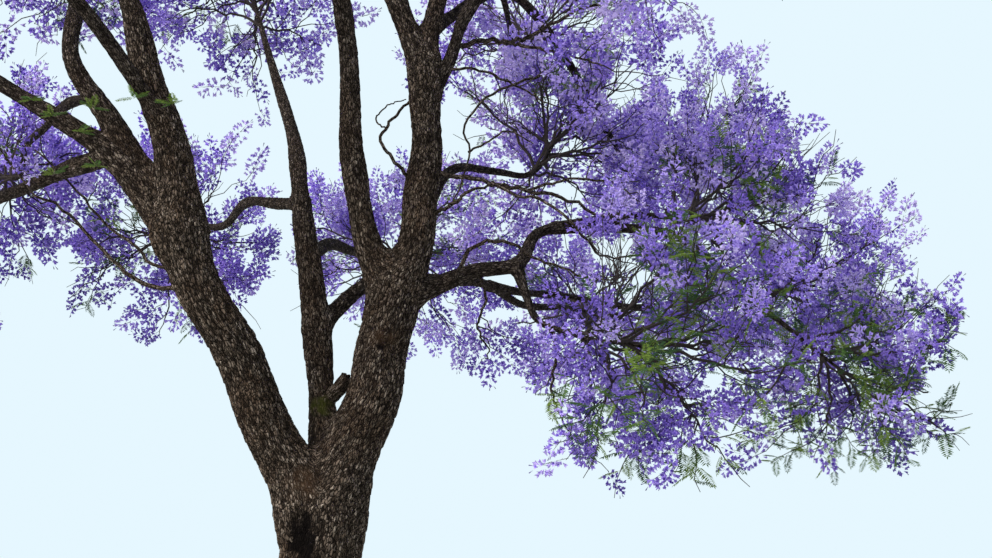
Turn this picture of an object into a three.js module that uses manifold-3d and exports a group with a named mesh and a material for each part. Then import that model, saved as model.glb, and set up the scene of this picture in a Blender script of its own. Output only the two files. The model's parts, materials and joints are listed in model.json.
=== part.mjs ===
// A jacaranda in full blossom, rooted in level ground: a forked trunk, the boughs that leave it,
// and at the end of each bough a mass of twigs that carry sprays of blossom and feathery leaf.
// Millimetres, +Z up, origin at the centre of the trunk's foot. The tree is seen from -Y.
import * as THREE from "three";
import { mergeVertices } from "three/addons/utils/BufferGeometryUtils.js";
import Module from "manifold-3d";

const wasm = await Module();
wasm.setup();

const METRE = 1000;
const UP = new THREE.Vector3(0, 0, 1);
const GOLDEN_ANGLE = Math.PI * (3 - Math.sqrt(5));
const SEED_STEP = 7919;
const SEED_START = 104729;
const SEED_FACTOR = 48271;
const SEED_RANGE = 2147483647;

// Clearance between two pieces that touch
const GAP = 0.3;

// The trunk, from its flat cut at the ground to its fork
const TRUNK_HEIGHT = 2.72;
const TRUNK_WAY = [[0, 0, 0], [-0.02, 0.01, TRUNK_HEIGHT / 2], [0.02, 0.02, TRUNK_HEIGHT]];
const TRUNK_RADIUS = 248;
const TRUNK_TOP_RADIUS = 262;
const TRUNK_WIDENS = [0.5, 0.85]; // the shares of its height between which it widens to its fork
const TRUNK_SEED = 3;
const TRUNK_STEP = 230; // the length of one ring of the trunk
const FOOT_SUNK = 50; // how far its form runs on below the ground before the flat cut
const GROUND_SIDE = 2000;
const FLARE_RADIUS = 190;
const FLARE_HEIGHT = 260;
const BUTTRESSES = 5;
const BUTTRESS_DEPTH = 0.13;
const BUTTRESS_HEIGHT = 420;
const BUTTRESS_TURN = 0.6;

// How every limb is shaped
const COLLAR = 0.34; // how much wider a limb is where it leaves another
const COLLAR_LENGTH = 1.1; // in radii of its root
const COLLAR_LIMIT = 0.85; // the widest that a collar gets, as a share of its parent's radius
const SWAY = 0.012; // how far a limb wanders off its line, as a share of its length
const HANDLE = 0.3; // where a limb's two bends lie, in shares of its length from its ends
const CROWN_OF_FORK = 0.1; // the share of a forking limb over which its top rounds off
const FORK_END = 0.42; // the radius that is left at the very top of a forking limb

// How every mass of twigs and sprays is shaped, in shares of its reach
const ENTRY = 0.52; // where the bough ends, measured from the middle of the mass
const UNEVEN = 0.15; // how much the lengths of twigs and sprays differ, either way
const TWIGS = 6;
const TWIG_ROOTS = [0.95, 0.3]; // where the first and the last twig leave the stem
const TWIG_REACH = 0.5;
const TWIG_BOW = 0.14;
const TWIG_TURN = 0.5; // how unevenly the twigs stand round the stem, in radians
const TWIG_SHORTER = [1, 0.8, 0.6]; // what a twig shrinks to where its full length has no room
const TWIG_TIP_ROOM = 150; // what a twig's tip leaves free of its mass's space for a spray
const TWIG_FREE_FROM = 0.35; // the share of a twig beyond which it has to be clear of limbs
const TWIG_WIDTH = 20;
const BACKWARD = -0.62; // how far round towards the bough the last twigs lie, as a cosine
const FLATNESS = 0.86; // height of a mass over its width
const SPRAY_PLACES = [0.45, 0.75, 1];
const SPRAY_LENGTH = 0.56;
const SPRAY_SPREAD = 0.95; // how far the side sprays turn off their twig, in radians
const SPRAY_LIFT = 0.22;
const SPRAY_SHORTER = [1, 0.88, 0.77, 0.67, 0.58]; // as for the twigs
const SPRAY_WAIST = 0.42; // where a spray is widest
const SPRAY_PARTS = [0.3, 0.55, 0.8];
const SPRAY_ROOM = 0.52; // how close two sprays come, in shares of their width
const BLOSSOM_WIDTH = 0.66;
const BLOSSOM_THICKNESS = 0.38;
const LEAF_WIDTH = 0.5;
const LEAF_THICKNESS = 0.1;
const LEAF_EVERY = 5; // one spray in so many is leaf
const FIRST_LEAF = 3;
const TIP_SUNK = 60; // how far the spray at a twig's tip reaches back along it
const SIDE_SUNK = 5; // how far a side spray's root lies past the middle of its twig
const STEM_END_RADIUS = 22;
const MASS_SEED = 100;
const TWIG_RADII = [14, 11];
const LIMB_CLEARANCE = 18;
const CELL_MARGIN = 14;

// Limbs that end in a fork. Each leaves another limb at a share of its length, passes the places
// of its way and ends at a point: across, back and up, in metres, with its two radii.
const FORKING = [
  { name: "right_stem", from: "trunk", at: 0.86, end: [0.51, 0.03, 4.2], radii: [196, 176],
    way: [[0.26, 0.02, 3.13], [0.41, 0.02, 3.66]] },
  { name: "left_limb", from: "trunk", at: 0.84, end: [-1.03, -0.5, 4.56], radii: [172, 158],
    way: [[-0.32, -0.12, 3.05], [-0.78, -0.4, 3.9]] },
  { name: "leader", from: "right_stem", at: 0.87, end: [0.67, 0.04, 5.9], radii: [134, 116],
    way: [[0.64, 0.03, 4.5], [0.67, 0.04, 5.15]] },
];

// Boughs that end in a mass of blossom: the middle of the mass and its reach, in metres. A bough
// with no way of its own leaves its parent by its turn and comes to its mass by its rise.
const BOUGHS = [
  { name: "right", from: "right_stem", at: 0.88, mass: [3.0, 1.2, 5.0], reach: 1.4, radii: [70, 27],
    way: [[1.0, 0.13, 4.21], [1.36, 0.2, 4.31], [1.52, 0.3, 4.62], [1.99, 0.5, 4.74]] },
  { name: "right_low", from: "right", at: 0.4, mass: [2.25, -0.2, 3.6], reach: 1.45, radii: [40, 22],
    way: [[1.42, 0.14, 4.06], [1.54, 0.05, 3.82]] },
  { name: "right_far", from: "right", at: 0.62, mass: [4.25, 2.3, 3.9], reach: 1.5, radii: [44, 24],
    turn: 0.5, rise: -0.2 },
  { name: "right_middle", from: "leader", at: 0.3, mass: [1.75, 1.7, 5.9], reach: 1.5, radii: [46, 24],
    turn: 0.9, rise: 0.3 },
  { name: "right_upper", from: "leader", at: 0.78, mass: [2.45, -0.5, 7.05], reach: 1.6, radii: [52, 25],
    way: [[0.83, 0.03, 5.8], [1.05, 0, 6.33]] },
  { name: "top_right", from: "leader", at: 0.92, mass: [1.3, 1.2, 8.45], reach: 1.6, radii: [86, 26],
    way: [[0.7, 0.08, 6.1], [0.78, 0.15, 6.5]] },
  { name: "top_left", from: "leader", at: 0.92, mass: [-0.6, -0.5, 8.55], reach: 1.6, radii: [98, 26],
    way: [[0.53, 0.03, 6.1], [0.38, 0, 6.5]] },
  { name: "right_back", from: "top_right", at: 0.18, mass: [3.1, 3.4, 6.2], reach: 1.5, radii: [52, 25],
    turn: 0.8, rise: 0.2 },
  { name: "back_top", from: "top_right", at: 0.4, mass: [1.6, 3.4, 7.6], reach: 1.5, radii: [42, 23],
    turn: 0.6, rise: 0.2 },
  { name: "front_upper", from: "right_stem", at: 0.9, mass: [-0.4, -2.3, 7.1], reach: 1.6, radii: [112, 27],
    way: [[0.27, -0.02, 4.42], [0.19, -0.18, 4.98], [0.2, -0.65, 5.6]] },
  { name: "front_right", from: "right_upper", at: 0.4, mass: [3, -2.6, 6.5], reach: 1.5, radii: [40, 23],
    turn: 0.7, rise: 0.1 },
  { name: "front", from: "front_upper", at: 0.62, mass: [0.9, -4.1, 6.1], reach: 1.6, radii: [50, 24],
    turn: 0.6, rise: 0 },
  { name: "back_upper", from: "trunk", at: 0.88, mass: [-1.1, 2.3, 7.6], reach: 1.65, radii: [124, 27],
    way: [[-0.02, 0.16, 3.1], [-0.06, 0.2, 3.66], [-0.12, 0.26, 4.3]] },
  { name: "back_left", from: "back_upper", at: 0.5, mass: [-2.2, 4.1, 5.7], reach: 1.6, radii: [54, 24],
    turn: 1.7, rise: 0 },
  { name: "back", from: "back_upper", at: 0.4, mass: [0.2, 4.7, 5.7], reach: 1.65, radii: [56, 25],
    turn: 1.7, rise: 0.1 },
  { name: "back_right", from: "back_upper", at: 0.29, mass: [2.3, 4.3, 4.9], reach: 1.5, radii: [60, 25],
    way: [[0.3, 0.55, 4.3], [0.95, 1.6, 4.5]] },
  { name: "far_right", from: "back_right", at: 0.55, mass: [4.35, 4.3, 5.2], reach: 1.5, radii: [40, 24],
    turn: 0.6, rise: 0.1 },
  { name: "left_upper", from: "left_limb", at: 0.9, mass: [-2.2, -1.6, 7.3], reach: 1.6, radii: [154, 28],
    way: [[-1.06, -0.6, 5.05], [-1.22, -0.7, 5.5], [-1.42, -0.8, 5.98]] },
  { name: "left_top", from: "left_limb", at: 0.9, mass: [-2.6, 1.4, 7.5], reach: 1.6, radii: [100, 26],
    way: [[-1.45, -0.45, 5.12], [-1.8, -0.4, 5.6], [-1.9, -0.2, 6.15]] },
  { name: "left", from: "left_limb", at: 0.86, mass: [-4.1, -0.8, 5.9], reach: 1.6, radii: [100, 26],
    way: [[-1.6, -0.45, 5], [-2.33, -0.45, 5.5]] },
  { name: "left_low", from: "left", at: 0.3, mass: [-3.9, 1.8, 4.7], reach: 1.5, radii: [70, 25],
    turn: 1.6, rise: -0.1 },
  { name: "left_front", from: "left_upper", at: 0.3, mass: [-2.5, -3.8, 5.9], reach: 1.6, radii: [56, 24],
    turn: 1, rise: 0 },
  { name: "left_back", from: "left_top", at: 0.35, mass: [-3.7, 3.4, 6.1], reach: 1.55, radii: [46, 24],
    turn: 1.7, rise: 0.1 },
];

// How fine the forms are
const LIMB_SIDES = [
  { from: 200, sides: 18 },
  { from: 110, sides: 10 },
  { from: 65, sides: 7 },
  { from: 0, sides: 5 },
];
const TWIG_SIDES = 3;
const TWIG_STEPS = 2;
const STEM_SIDES = 3;
const STEM_STEPS = 3;
const LIMB_STEP = 450; // the length of one ring of a limb
const FEWEST_STEPS = 4;
const STOP_STEP = 0.002;
const PATH_STEPS = 60;
const CLEARANCE_STEPS = 5;

const bark = new THREE.MeshStandardMaterial({ color: 0x4a423c, roughness: 0.95, metalness: 0 });
const blossom = new THREE.MeshStandardMaterial({ color: 0x7f6fc4, roughness: 0.8, metalness: 0 });

const metres = ([across, back, up]) =>
  new THREE.Vector3(across, back, up).multiplyScalar(METRE);

// Numbers from 0 to 1 that are always the same for the same seed
function seeded(seed) {
  let state = seed * SEED_STEP + SEED_START;
  return () => {
    state = (state * SEED_FACTOR) % SEED_RANGE;
    return state / SEED_RANGE;
  };
}

// A factor about one that differs by up to UNEVEN either way
const uneven = (random) => 1 - UNEVEN + 2 * UNEVEN * random();

// Two directions square to a line, the first of them level
function square(direction) {
  const level = new THREE.Vector3().crossVectors(direction, UP);
  if (level.length() < 0.02) level.set(1, 0, 0);
  level.normalize();
  return [level, new THREE.Vector3().crossVectors(level, direction).normalize()];
}

// The places that a limb passes when it has no way of its own: it leaves its parent with a share
// of the parent's direction, bends to its own, and comes to its end rising or sinking
function wayByTurn(start, leaving, end, turn, rise) {
  const chord = new THREE.Vector3().subVectors(end, start);
  const length = chord.length();
  const own = chord.clone().normalize();
  const away = leaving.clone().multiplyScalar(1 - turn / 2).addScaledVector(own, turn).normalize();
  const arriving = own.clone().addScaledVector(UP, rise).normalize();
  return [
    start.clone().addScaledVector(away, length * HANDLE),
    end.clone().addScaledVector(arriving, -length * HANDLE),
  ];
}

// A smooth line through places, evenly paced, that sways a little on the way
function swayingLine(places, seed) {
  const curve = new THREE.CatmullRomCurve3(places);
  const start = places[0];
  const end = places[places.length - 1];
  const length = start.distanceTo(end);
  const [level, steep] = square(new THREE.Vector3().subVectors(end, start).normalize());
  const random = seeded(seed);
  const phases = [random(), random()].map((share) => share * 2 * Math.PI);
  return (u) => {
    const swing = SWAY * length * Math.sin(Math.PI * u) ** 2;
    return curve
      .getPointAt(THREE.MathUtils.clamp(u, 0, 1))
      .addScaledVector(level, swing * Math.sin(3 * Math.PI * u + phases[0]))
      .addScaledVector(steep, swing * Math.sin(4 * Math.PI * u + phases[1]));
  };
}

// The direction of a line at u
function heading(line, u) {
  const half = 0.005;
  const low = Math.max(0, u - half);
  const high = Math.min(1, u + half);
  return new THREE.Vector3().subVectors(line(high), line(low)).normalize();
}

// A closed round form that follows a line: a cylinder whose rings are carried along it without twist
function alongLine(line, radiusAt, sides, steps) {
  const normals = [square(heading(line, 0))[0]];
  const headings = [heading(line, 0)];
  for (let i = 1; i <= steps; i++) {
    const next = heading(line, i / steps);
    const normal = normals[i - 1].clone();
    normals.push(normal.addScaledVector(next, -normal.dot(next)).normalize());
    headings.push(next);
  }
  const form = new THREE.CylinderGeometry(1, 1, 1, sides, steps);
  const places = form.getAttribute("position");
  for (let i = 0; i < places.count; i++) {
    const u = THREE.MathUtils.clamp(places.getY(i) + 0.5, 0, 1);
    const ring = Math.round(u * steps);
    const across = places.getX(i);
    const back = places.getZ(i);
    const side = new THREE.Vector3().crossVectors(normals[ring], headings[ring]);
    const radius = radiusAt(u, Math.atan2(back, across));
    const place = line(u)
      .addScaledVector(normals[ring], radius * across)
      .addScaledVector(side, radius * back);
    places.setXYZ(i, place.x, place.y, place.z);
  }
  return form;
}

// A geometry as a solid that can be joined and cut
function solid(geometry) {
  const bare = geometry.clone();
  bare.deleteAttribute("normal");
  bare.deleteAttribute("uv");
  const merged = mergeVertices(bare, 1e-3);
  return new wasm.Manifold(
    new wasm.Mesh({
      numProp: 3,
      vertProperties: new Float32Array(merged.getAttribute("position").array),
      triVerts: new Uint32Array(merged.index.array),
    }),
  );
}

// The largest body of a solid: a cut can leave small scraps behind
function largest(cut) {
  const bodies = cut.decompose();
  return bodies.reduce((best, body) => (body.volume() > best.volume() ? body : best));
}

function meshOf(cut, name, material) {
  const made = cut.getMesh();
  const places = new Float32Array(made.numVert * 3);
  for (let i = 0; i < made.numVert; i++) {
    places.set(made.vertProperties.subarray(i * made.numProp, i * made.numProp + 3), i * 3);
  }
  const geometry = new THREE.BufferGeometry();
  geometry.setAttribute("position", new THREE.BufferAttribute(places, 3));
  geometry.setIndex(new THREE.BufferAttribute(made.triVerts, 1));
  geometry.computeVertexNormals();
  const mesh = new THREE.Mesh(geometry, material);
  mesh.name = name;
  return mesh;
}

// The trunk's radius: a gentle taper with a root flare and buttresses at the foot, and a round top
function trunkRadius(u, angle) {
  const height = u * TRUNK_HEIGHT * METRE;
  const widening = THREE.MathUtils.smoothstep(u, ...TRUNK_WIDENS);
  const taper = THREE.MathUtils.lerp(TRUNK_RADIUS, TRUNK_TOP_RADIUS, widening);
  const flare = FLARE_RADIUS * Math.exp(-height / FLARE_HEIGHT);
  const depth = BUTTRESS_DEPTH * Math.exp(-height / BUTTRESS_HEIGHT);
  const ridge = depth * Math.cos(BUTTRESSES * angle + BUTTRESS_TURN);
  return (taper + flare) * (1 + ridge) * roundedTop(u);
}

// Rounds off the top of a limb that forks
function roundedTop(u) {
  const past = Math.max(0, (u - 1 + CROWN_OF_FORK) / CROWN_OF_FORK);
  return FORK_END + (1 - FORK_END) * Math.sqrt(Math.max(0, 1 - past * past));
}

// A limb's radius: an even taper, wider in the collar where it leaves its parent
function limbRadius(limb, u) {
  const [root, tip] = limb.radii;
  const beyond = Math.max(0, u * limb.length - limb.parentRadius);
  const even = THREE.MathUtils.lerp(root, tip, u);
  const collar = COLLAR * Math.exp(-beyond / (COLLAR_LENGTH * root));
  const widest = Math.max(even, COLLAR_LIMIT * limb.parentRadius);
  return Math.min(even * (1 + collar), widest) * (limb.forks ? roundedTop(u) : 1);
}

function growTrunk() {
  const places = TRUNK_WAY.map(metres);
  const line = swayingLine(places, TRUNK_SEED);
  return {
    name: "trunk",
    line,
    length: places.at(-1).z,
    radius: trunkRadius,
    radii: [TRUNK_RADIUS],
    step: TRUNK_STEP,
    sunk: FOOT_SUNK,
  };
}

// Works out a limb's line and radius from the limb that it leaves
function growLimb(plan, parent, seed) {
  const start = parent.line(plan.at);
  const target = metres(plan.end ?? plan.mass);
  const way = plan.way?.map(metres)
    ?? wayByTurn(start, heading(parent.line, plan.at), target, plan.turn, plan.rise);
  const whole = swayingLine([start, ...way, target], seed);
  let stop = 1;
  if (plan.mass) {
    while (whole(stop).distanceTo(target) < ENTRY * plan.reach * METRE) stop -= STOP_STEP;
  }
  const limb = {
    ...plan,
    forks: Boolean(plan.end),
    line: (u) => whole(u * stop),
    stem: (u) => whole(stop + (1 - stop) * u),
    length: start.distanceTo(target) * stop,
    parentRadius: parent.radius(plan.at, 0),
    centre: plan.mass ? target : null,
    parent,
  };
  limb.radius = (u) => limbRadius(limb, u);
  return limb;
}

// A limb's whole round form, grown all over by a margin
function limbForm(limb, margin) {
  const steps = Math.max(FEWEST_STEPS, Math.round(limb.length / (limb.step ?? LIMB_STEP)));
  const { sides } = LIMB_SIDES.find((kind) => limb.radii[0] >= kind.from);
  const line = (u) => {
    const past = u === 1 ? margin : u === 0 ? -margin - (limb.sunk ?? 0) : 0;
    return limb.line(u).addScaledVector(heading(limb.line, u), past);
  };
  return solid(alongLine(line, (u, angle) => limb.radius(u, angle) + margin, sides, steps));
}

// The ground that the trunk's foot is cut level with
function ground() {
  const block = new THREE.BoxGeometry(GROUND_SIDE, GROUND_SIDE, GROUND_SIDE);
  return solid(block.translate(0, 0, -GROUND_SIDE / 2));
}

// A limb cut to sit on its parent and beside the limbs that leave near it
function limbSolid(limb, limbs) {
  let cut = limbForm(limb, 0);
  if (limb.sunk) cut = cut.subtract(ground());
  for (const other of limbs.slice(0, limbs.indexOf(limb))) {
    const kin = [limb.parent, limb.parent?.parent];
    if (kin.includes(other) || kin.includes(other.parent)) cut = cut.subtract(limbForm(other, GAP));
  }
  return largest(cut);
}

// Whether a point lies in a mass's own space: inside its reach, and on its side of the planes
// between it and its neighbours
function inCell(point, mass, masses, margin) {
  const off = new THREE.Vector3().subVectors(point, mass.centre);
  const reach = mass.reach * METRE - margin;
  if (Math.hypot(off.x, off.y, off.z / FLATNESS) > reach) return false;
  return masses.every((other) => {
    if (other === mass) return true;
    const across = new THREE.Vector3().subVectors(other.centre, mass.centre);
    const apart = across.length();
    const share = mass.reach / (mass.reach + other.reach);
    return off.dot(across) / apart < apart * share - margin;
  });
}

// Whether a tapering form from one point to another keeps clear of every limb
function clearOfLimbs(from, to, widthAt, places) {
  for (let i = 0; i <= CLEARANCE_STEPS; i++) {
    const u = i / CLEARANCE_STEPS;
    const point = new THREE.Vector3().lerpVectors(from, to, u);
    const width = widthAt(u) + LIMB_CLEARANCE;
    if (places.some((place) => place.point.distanceTo(point) < place.radius + width)) return false;
  }
  return true;
}

// A spray as a spindle of eight faces, widest at its waist
function sprayForm(spray) {
  const form = new THREE.OctahedronGeometry(1, 0);
  const [level, steep] = square(spray.direction);
  const places = form.getAttribute("position");
  for (let i = 0; i < places.count; i++) {
    const along = places.getY(i);
    const reach = along > 0.5 ? spray.length : along < -0.5 ? -spray.sunk : spray.length * SPRAY_WAIST;
    const place = spray.root
      .clone()
      .addScaledVector(spray.direction, reach)
      .addScaledVector(level, (places.getX(i) * spray.width) / 2)
      .addScaledVector(steep, (places.getZ(i) * spray.thickness) / 2);
    places.setXYZ(i, place.x, place.y, place.z);
  }
  return form;
}

// Whether a spray keeps clear of the ones that its mass already has
function apart(spray, sprays) {
  const along = (one, share) => one.root.clone().addScaledVector(one.direction, one.length * share);
  return sprays.every((other) => {
    const room = (SPRAY_ROOM * (spray.width + other.width)) / 2;
    return SPRAY_PARTS.every((part) =>
      SPRAY_PARTS.every((share) => along(spray, part).distanceTo(along(other, share)) > room),
    );
  });
}

// The corners of a spray, which all have to lie in its mass's space
function sprayCorners(spray) {
  const [level, steep] = square(spray.direction);
  const waist = spray.root.clone().addScaledVector(spray.direction, spray.length * SPRAY_WAIST);
  return [
    spray.root.clone().addScaledVector(spray.direction, spray.length),
    waist.clone().addScaledVector(level, spray.width / 2),
    waist.clone().addScaledVector(level, -spray.width / 2),
    waist.clone().addScaledVector(steep, spray.thickness / 2),
    waist.clone().addScaledVector(steep, -spray.thickness / 2),
  ];
}

// Whether a spray lies in its mass's space, clear of its neighbours and of every limb
function hasRoom(spray, sprays, bough, masses, places) {
  const tip = spray.root.clone().addScaledVector(spray.direction, spray.length);
  const widthAt = (u) => (spray.width / 2) * Math.min(u / SPRAY_WAIST, (1 - u) / (1 - SPRAY_WAIST));
  return (
    sprayCorners(spray).every((corner) => inCell(corner, bough, masses, CELL_MARGIN)) &&
    apart(spray, sprays) &&
    clearOfLimbs(spray.root, tip, widthAt, places)
  );
}

// A twig from the stem towards its share of the mass's round, bowed the way the stem runs
function twigLine(start, forward, end, reach) {
  const middle = new THREE.Vector3().lerpVectors(start, end, 0.5);
  middle.addScaledVector(forward, TWIG_BOW * reach);
  return (u) => new THREE.QuadraticBezierCurve3(start, middle, end).getPoint(u);
}

// Where twig k of a mass points: out of the stem by the golden angle, each further back
function twigDirection(forward, k, turn) {
  const [level, steep] = square(forward);
  const cosine = 1 - ((k + 0.5) / TWIGS) * (1 - BACKWARD);
  const sine = Math.sqrt(1 - cosine * cosine);
  const out = forward
    .clone()
    .multiplyScalar(cosine)
    .addScaledVector(level, sine * Math.cos(turn))
    .addScaledVector(steep, sine * Math.sin(turn));
  out.z *= FLATNESS;
  return out;
}

// Where the spray at a share of a twig points: on with the twig at its tip, else off to one side
function sprayDirection(line, share, round) {
  const run = heading(line, share);
  if (share === 1) return run;
  const [side, over] = square(run);
  return run
    .multiplyScalar(Math.cos(SPRAY_SPREAD))
    .addScaledVector(side, Math.sin(SPRAY_SPREAD) * Math.cos(round))
    .addScaledVector(over, Math.sin(SPRAY_SPREAD) * Math.sin(round))
    .addScaledVector(UP, SPRAY_LIFT)
    .normalize();
}

// Grows one mass by its seeded rule: twigs leave the stem on all sides, and each carries sprays
// at its sides and its tip. What finds no room in the mass's space is shortened, then skipped.
function growMass(bough, index, masses, places) {
  const random = seeded(MASS_SEED + index);
  const reach = bough.reach * METRE;
  const forward = heading(bough.stem, 0.5);
  const offset = random() * 2 * Math.PI;
  const twigs = [];
  const sprays = [];
  for (let k = 0; k < TWIGS; k++) {
    const turn = offset + k * GOLDEN_ANGLE + (random() - 0.5) * TWIG_TURN;
    const out = twigDirection(forward, k, turn);
    const start = bough.stem(THREE.MathUtils.lerp(...TWIG_ROOTS, (k + 0.5) / TWIGS));
    const full = TWIG_REACH * reach * uneven(random);
    const tipAt = (share) => bough.centre.clone().addScaledVector(out, full * share);
    const fits = TWIG_SHORTER.find((share) => {
      const tip = tipAt(share);
      const free = start.clone().lerp(tip, TWIG_FREE_FROM);
      const clear = clearOfLimbs(free, tip, () => TWIG_WIDTH, places);
      return clear && inCell(tip, bough, masses, TWIG_TIP_ROOM);
    });
    if (!fits) continue;
    const line = twigLine(start, forward, tipAt(fits), reach);
    twigs.push(line);
    SPRAY_PLACES.forEach((share, j) => {
      const direction = sprayDirection(line, share, turn + j * Math.PI + random() - 0.5);
      const leaf = (k * SPRAY_PLACES.length + j) % LEAF_EVERY === FIRST_LEAF;
      const length = reach * SPRAY_LENGTH * uneven(random);
      const sized = SPRAY_SHORTER.map((part) => ({
        root: line(share),
        direction,
        leaf,
        sunk: share < 1 ? SIDE_SUNK : TIP_SUNK,
        length: length * part,
        width: length * part * (leaf ? LEAF_WIDTH : BLOSSOM_WIDTH),
        thickness: length * part * (leaf ? LEAF_THICKNESS : BLOSSOM_THICKNESS),
      }));
      const spray = sized.find((one) => hasRoom(one, sprays, bough, masses, places));
      if (spray) sprays.push(spray);
    });
  }
  return { twigs, sprays };
}

// One mass as one solid: its stem runs on from the tip of its bough, just clear of it
function massSolid(bough, grown) {
  const start = bough.stem(0).addScaledVector(heading(bough.stem, 0), GAP);
  const stem = (u) => (u === 0 ? start.clone() : bough.stem(u));
  const stemRadius = (u) => THREE.MathUtils.lerp(bough.radii[1], STEM_END_RADIUS, u);
  const twigRadius = (u) => THREE.MathUtils.lerp(...TWIG_RADII, u);
  const forms = [
    alongLine(stem, stemRadius, STEM_SIDES, STEM_STEPS),
    ...grown.twigs.map((line) => alongLine(line, twigRadius, TWIG_SIDES, TWIG_STEPS)),
    ...grown.sprays.map(sprayForm),
  ];
  return largest(wasm.Manifold.union(forms.map(solid)));
}

const limbs = [growTrunk()];
const byName = new Map([["trunk", limbs[0]]]);
[...FORKING, ...BOUGHS].forEach((plan, index) => {
  const limb = growLimb(plan, byName.get(plan.from), index + 1);
  limbs.push(limb);
  byName.set(plan.name, limb);
});
const boughs = limbs.filter((limb) => limb.centre);

// Points along every limb with its radius there, for keeping twigs and sprays clear
const limbPlaces = limbs.flatMap((limb) =>
  Array.from({ length: PATH_STEPS + 1 }, (_, i) => ({
    point: limb.line(i / PATH_STEPS),
    radius: limb.radius(i / PATH_STEPS, 0),
  })),
);

const jacaranda = new THREE.Group();
for (const limb of limbs) {
  const name = limb.centre ? "bough_" + limb.name : limb.name;
  jacaranda.add(meshOf(limbSolid(limb, limbs), name, bark));
}
boughs.forEach((bough, index) => {
  const grown = growMass(bough, index, boughs, limbPlaces);
  jacaranda.add(meshOf(massSolid(bough, grown), "blossom_" + bough.name, blossom));
});

export default jacaranda;
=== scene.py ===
"""The looks of a jacaranda in full blossom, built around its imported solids.

The limbs and the masses of twigs follow the same seeded rule as the solids. Each limb gets a
surface with the relief of its bark, and each mass is carried on to finer twigs, panicles of
violet flowers, buds and feathery leaves, all within the reach of the mass that they replace.
Metres, +Z up, origin at the centre of the trunk's foot. The photographed side faces -Y.
"""
import json
import math
from types import SimpleNamespace

import bpy
import numpy as np
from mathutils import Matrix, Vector

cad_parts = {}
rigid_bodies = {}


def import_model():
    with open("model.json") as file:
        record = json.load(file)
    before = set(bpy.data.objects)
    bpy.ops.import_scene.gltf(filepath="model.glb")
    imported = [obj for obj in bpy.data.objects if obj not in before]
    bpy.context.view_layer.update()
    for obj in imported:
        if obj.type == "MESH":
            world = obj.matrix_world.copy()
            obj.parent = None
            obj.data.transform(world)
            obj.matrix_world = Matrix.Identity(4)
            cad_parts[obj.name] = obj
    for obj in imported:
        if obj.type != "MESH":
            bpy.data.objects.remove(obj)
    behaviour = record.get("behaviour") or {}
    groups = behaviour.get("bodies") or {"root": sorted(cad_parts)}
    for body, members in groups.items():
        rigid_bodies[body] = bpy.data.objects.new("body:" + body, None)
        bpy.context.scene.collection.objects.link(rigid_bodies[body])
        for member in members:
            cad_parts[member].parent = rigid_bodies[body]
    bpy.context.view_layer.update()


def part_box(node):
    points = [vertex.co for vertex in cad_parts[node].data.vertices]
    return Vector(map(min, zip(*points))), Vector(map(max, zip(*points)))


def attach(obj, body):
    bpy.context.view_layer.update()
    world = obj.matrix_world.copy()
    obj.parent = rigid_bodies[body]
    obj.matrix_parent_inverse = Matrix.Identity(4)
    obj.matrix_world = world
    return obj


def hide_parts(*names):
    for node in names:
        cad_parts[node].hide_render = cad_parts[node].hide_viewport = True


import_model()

TURN = 2 * math.pi
GOLDEN_ANGLE = math.pi * (3 - math.sqrt(5))
UP = np.array([0.0, 0.0, 1.0])
TINY = 1e-9
NEARLY_UPRIGHT = 0.02  # a direction with a smaller level part than this counts as upright

# The fixed random numbers of the solids' rule
SEED_STEP = 7919
SEED_START = 104729
SEED_FACTOR = 48271
SEED_RANGE = 2147483647

# The trunk, from its flat cut at the ground to its fork
TRUNK_HEIGHT = 2.72
TRUNK_WAY = [(0, 0, 0), (-0.02, 0.01, TRUNK_HEIGHT / 2), (0.02, 0.02, TRUNK_HEIGHT)]
TRUNK_RADIUS = 0.248
TRUNK_TOP_RADIUS = 0.262
TRUNK_WIDENS = (0.5, 0.85)
TRUNK_SEED = 3
FLARE_RADIUS = 0.19
FLARE_HEIGHT = 0.26
BUTTRESSES = 5
BUTTRESS_DEPTH = 0.13
BUTTRESS_HEIGHT = 0.42
BUTTRESS_TURN = 0.6

# How every limb is shaped
CURVE_DIVISIONS = 200
HALF_STEP = 0.005
COLLAR = 0.34
COLLAR_LENGTH = 1.1
COLLAR_LIMIT = 0.85
SWAY = 0.012
HANDLE = 0.3
CROWN_OF_FORK = 0.1
FORK_END = 0.42
STOP_STEP = 0.002
PATH_STEPS = 60

# How every mass of twigs and sprays is shaped, in shares of its reach
ENTRY = 0.52
UNEVEN = 0.15
TWIGS = 6
TWIG_ROOTS = (0.95, 0.3)
TWIG_REACH = 0.5
TWIG_BOW = 0.14
TWIG_TURN = 0.5
TWIG_SHORTER = (1, 0.8, 0.6)
TWIG_TIP_ROOM = 0.15
TWIG_FREE_FROM = 0.35
TWIG_WIDTH = 0.02
BACKWARD = -0.62
FLATNESS = 0.86
SPRAY_PLACES = (0.45, 0.75, 1)
SPRAY_LENGTH = 0.56
SPRAY_SPREAD = 0.95
SPRAY_LIFT = 0.22
SPRAY_SHORTER = (1, 0.88, 0.77, 0.67, 0.58)
SPRAY_WAIST = 0.42
SPRAY_PARTS = np.array([0.3, 0.55, 0.8])
SPRAY_ROOM = 0.52
BLOSSOM_WIDTH = 0.66
BLOSSOM_THICKNESS = 0.38
LEAF_WIDTH = 0.5
LEAF_THICKNESS = 0.1
LEAF_EVERY = 5
FIRST_LEAF = 3
MASS_SEED = 100
LIMB_CLEARANCE = 0.018
CELL_MARGIN = 0.014
CLEARANCE_STEPS = 5

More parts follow.
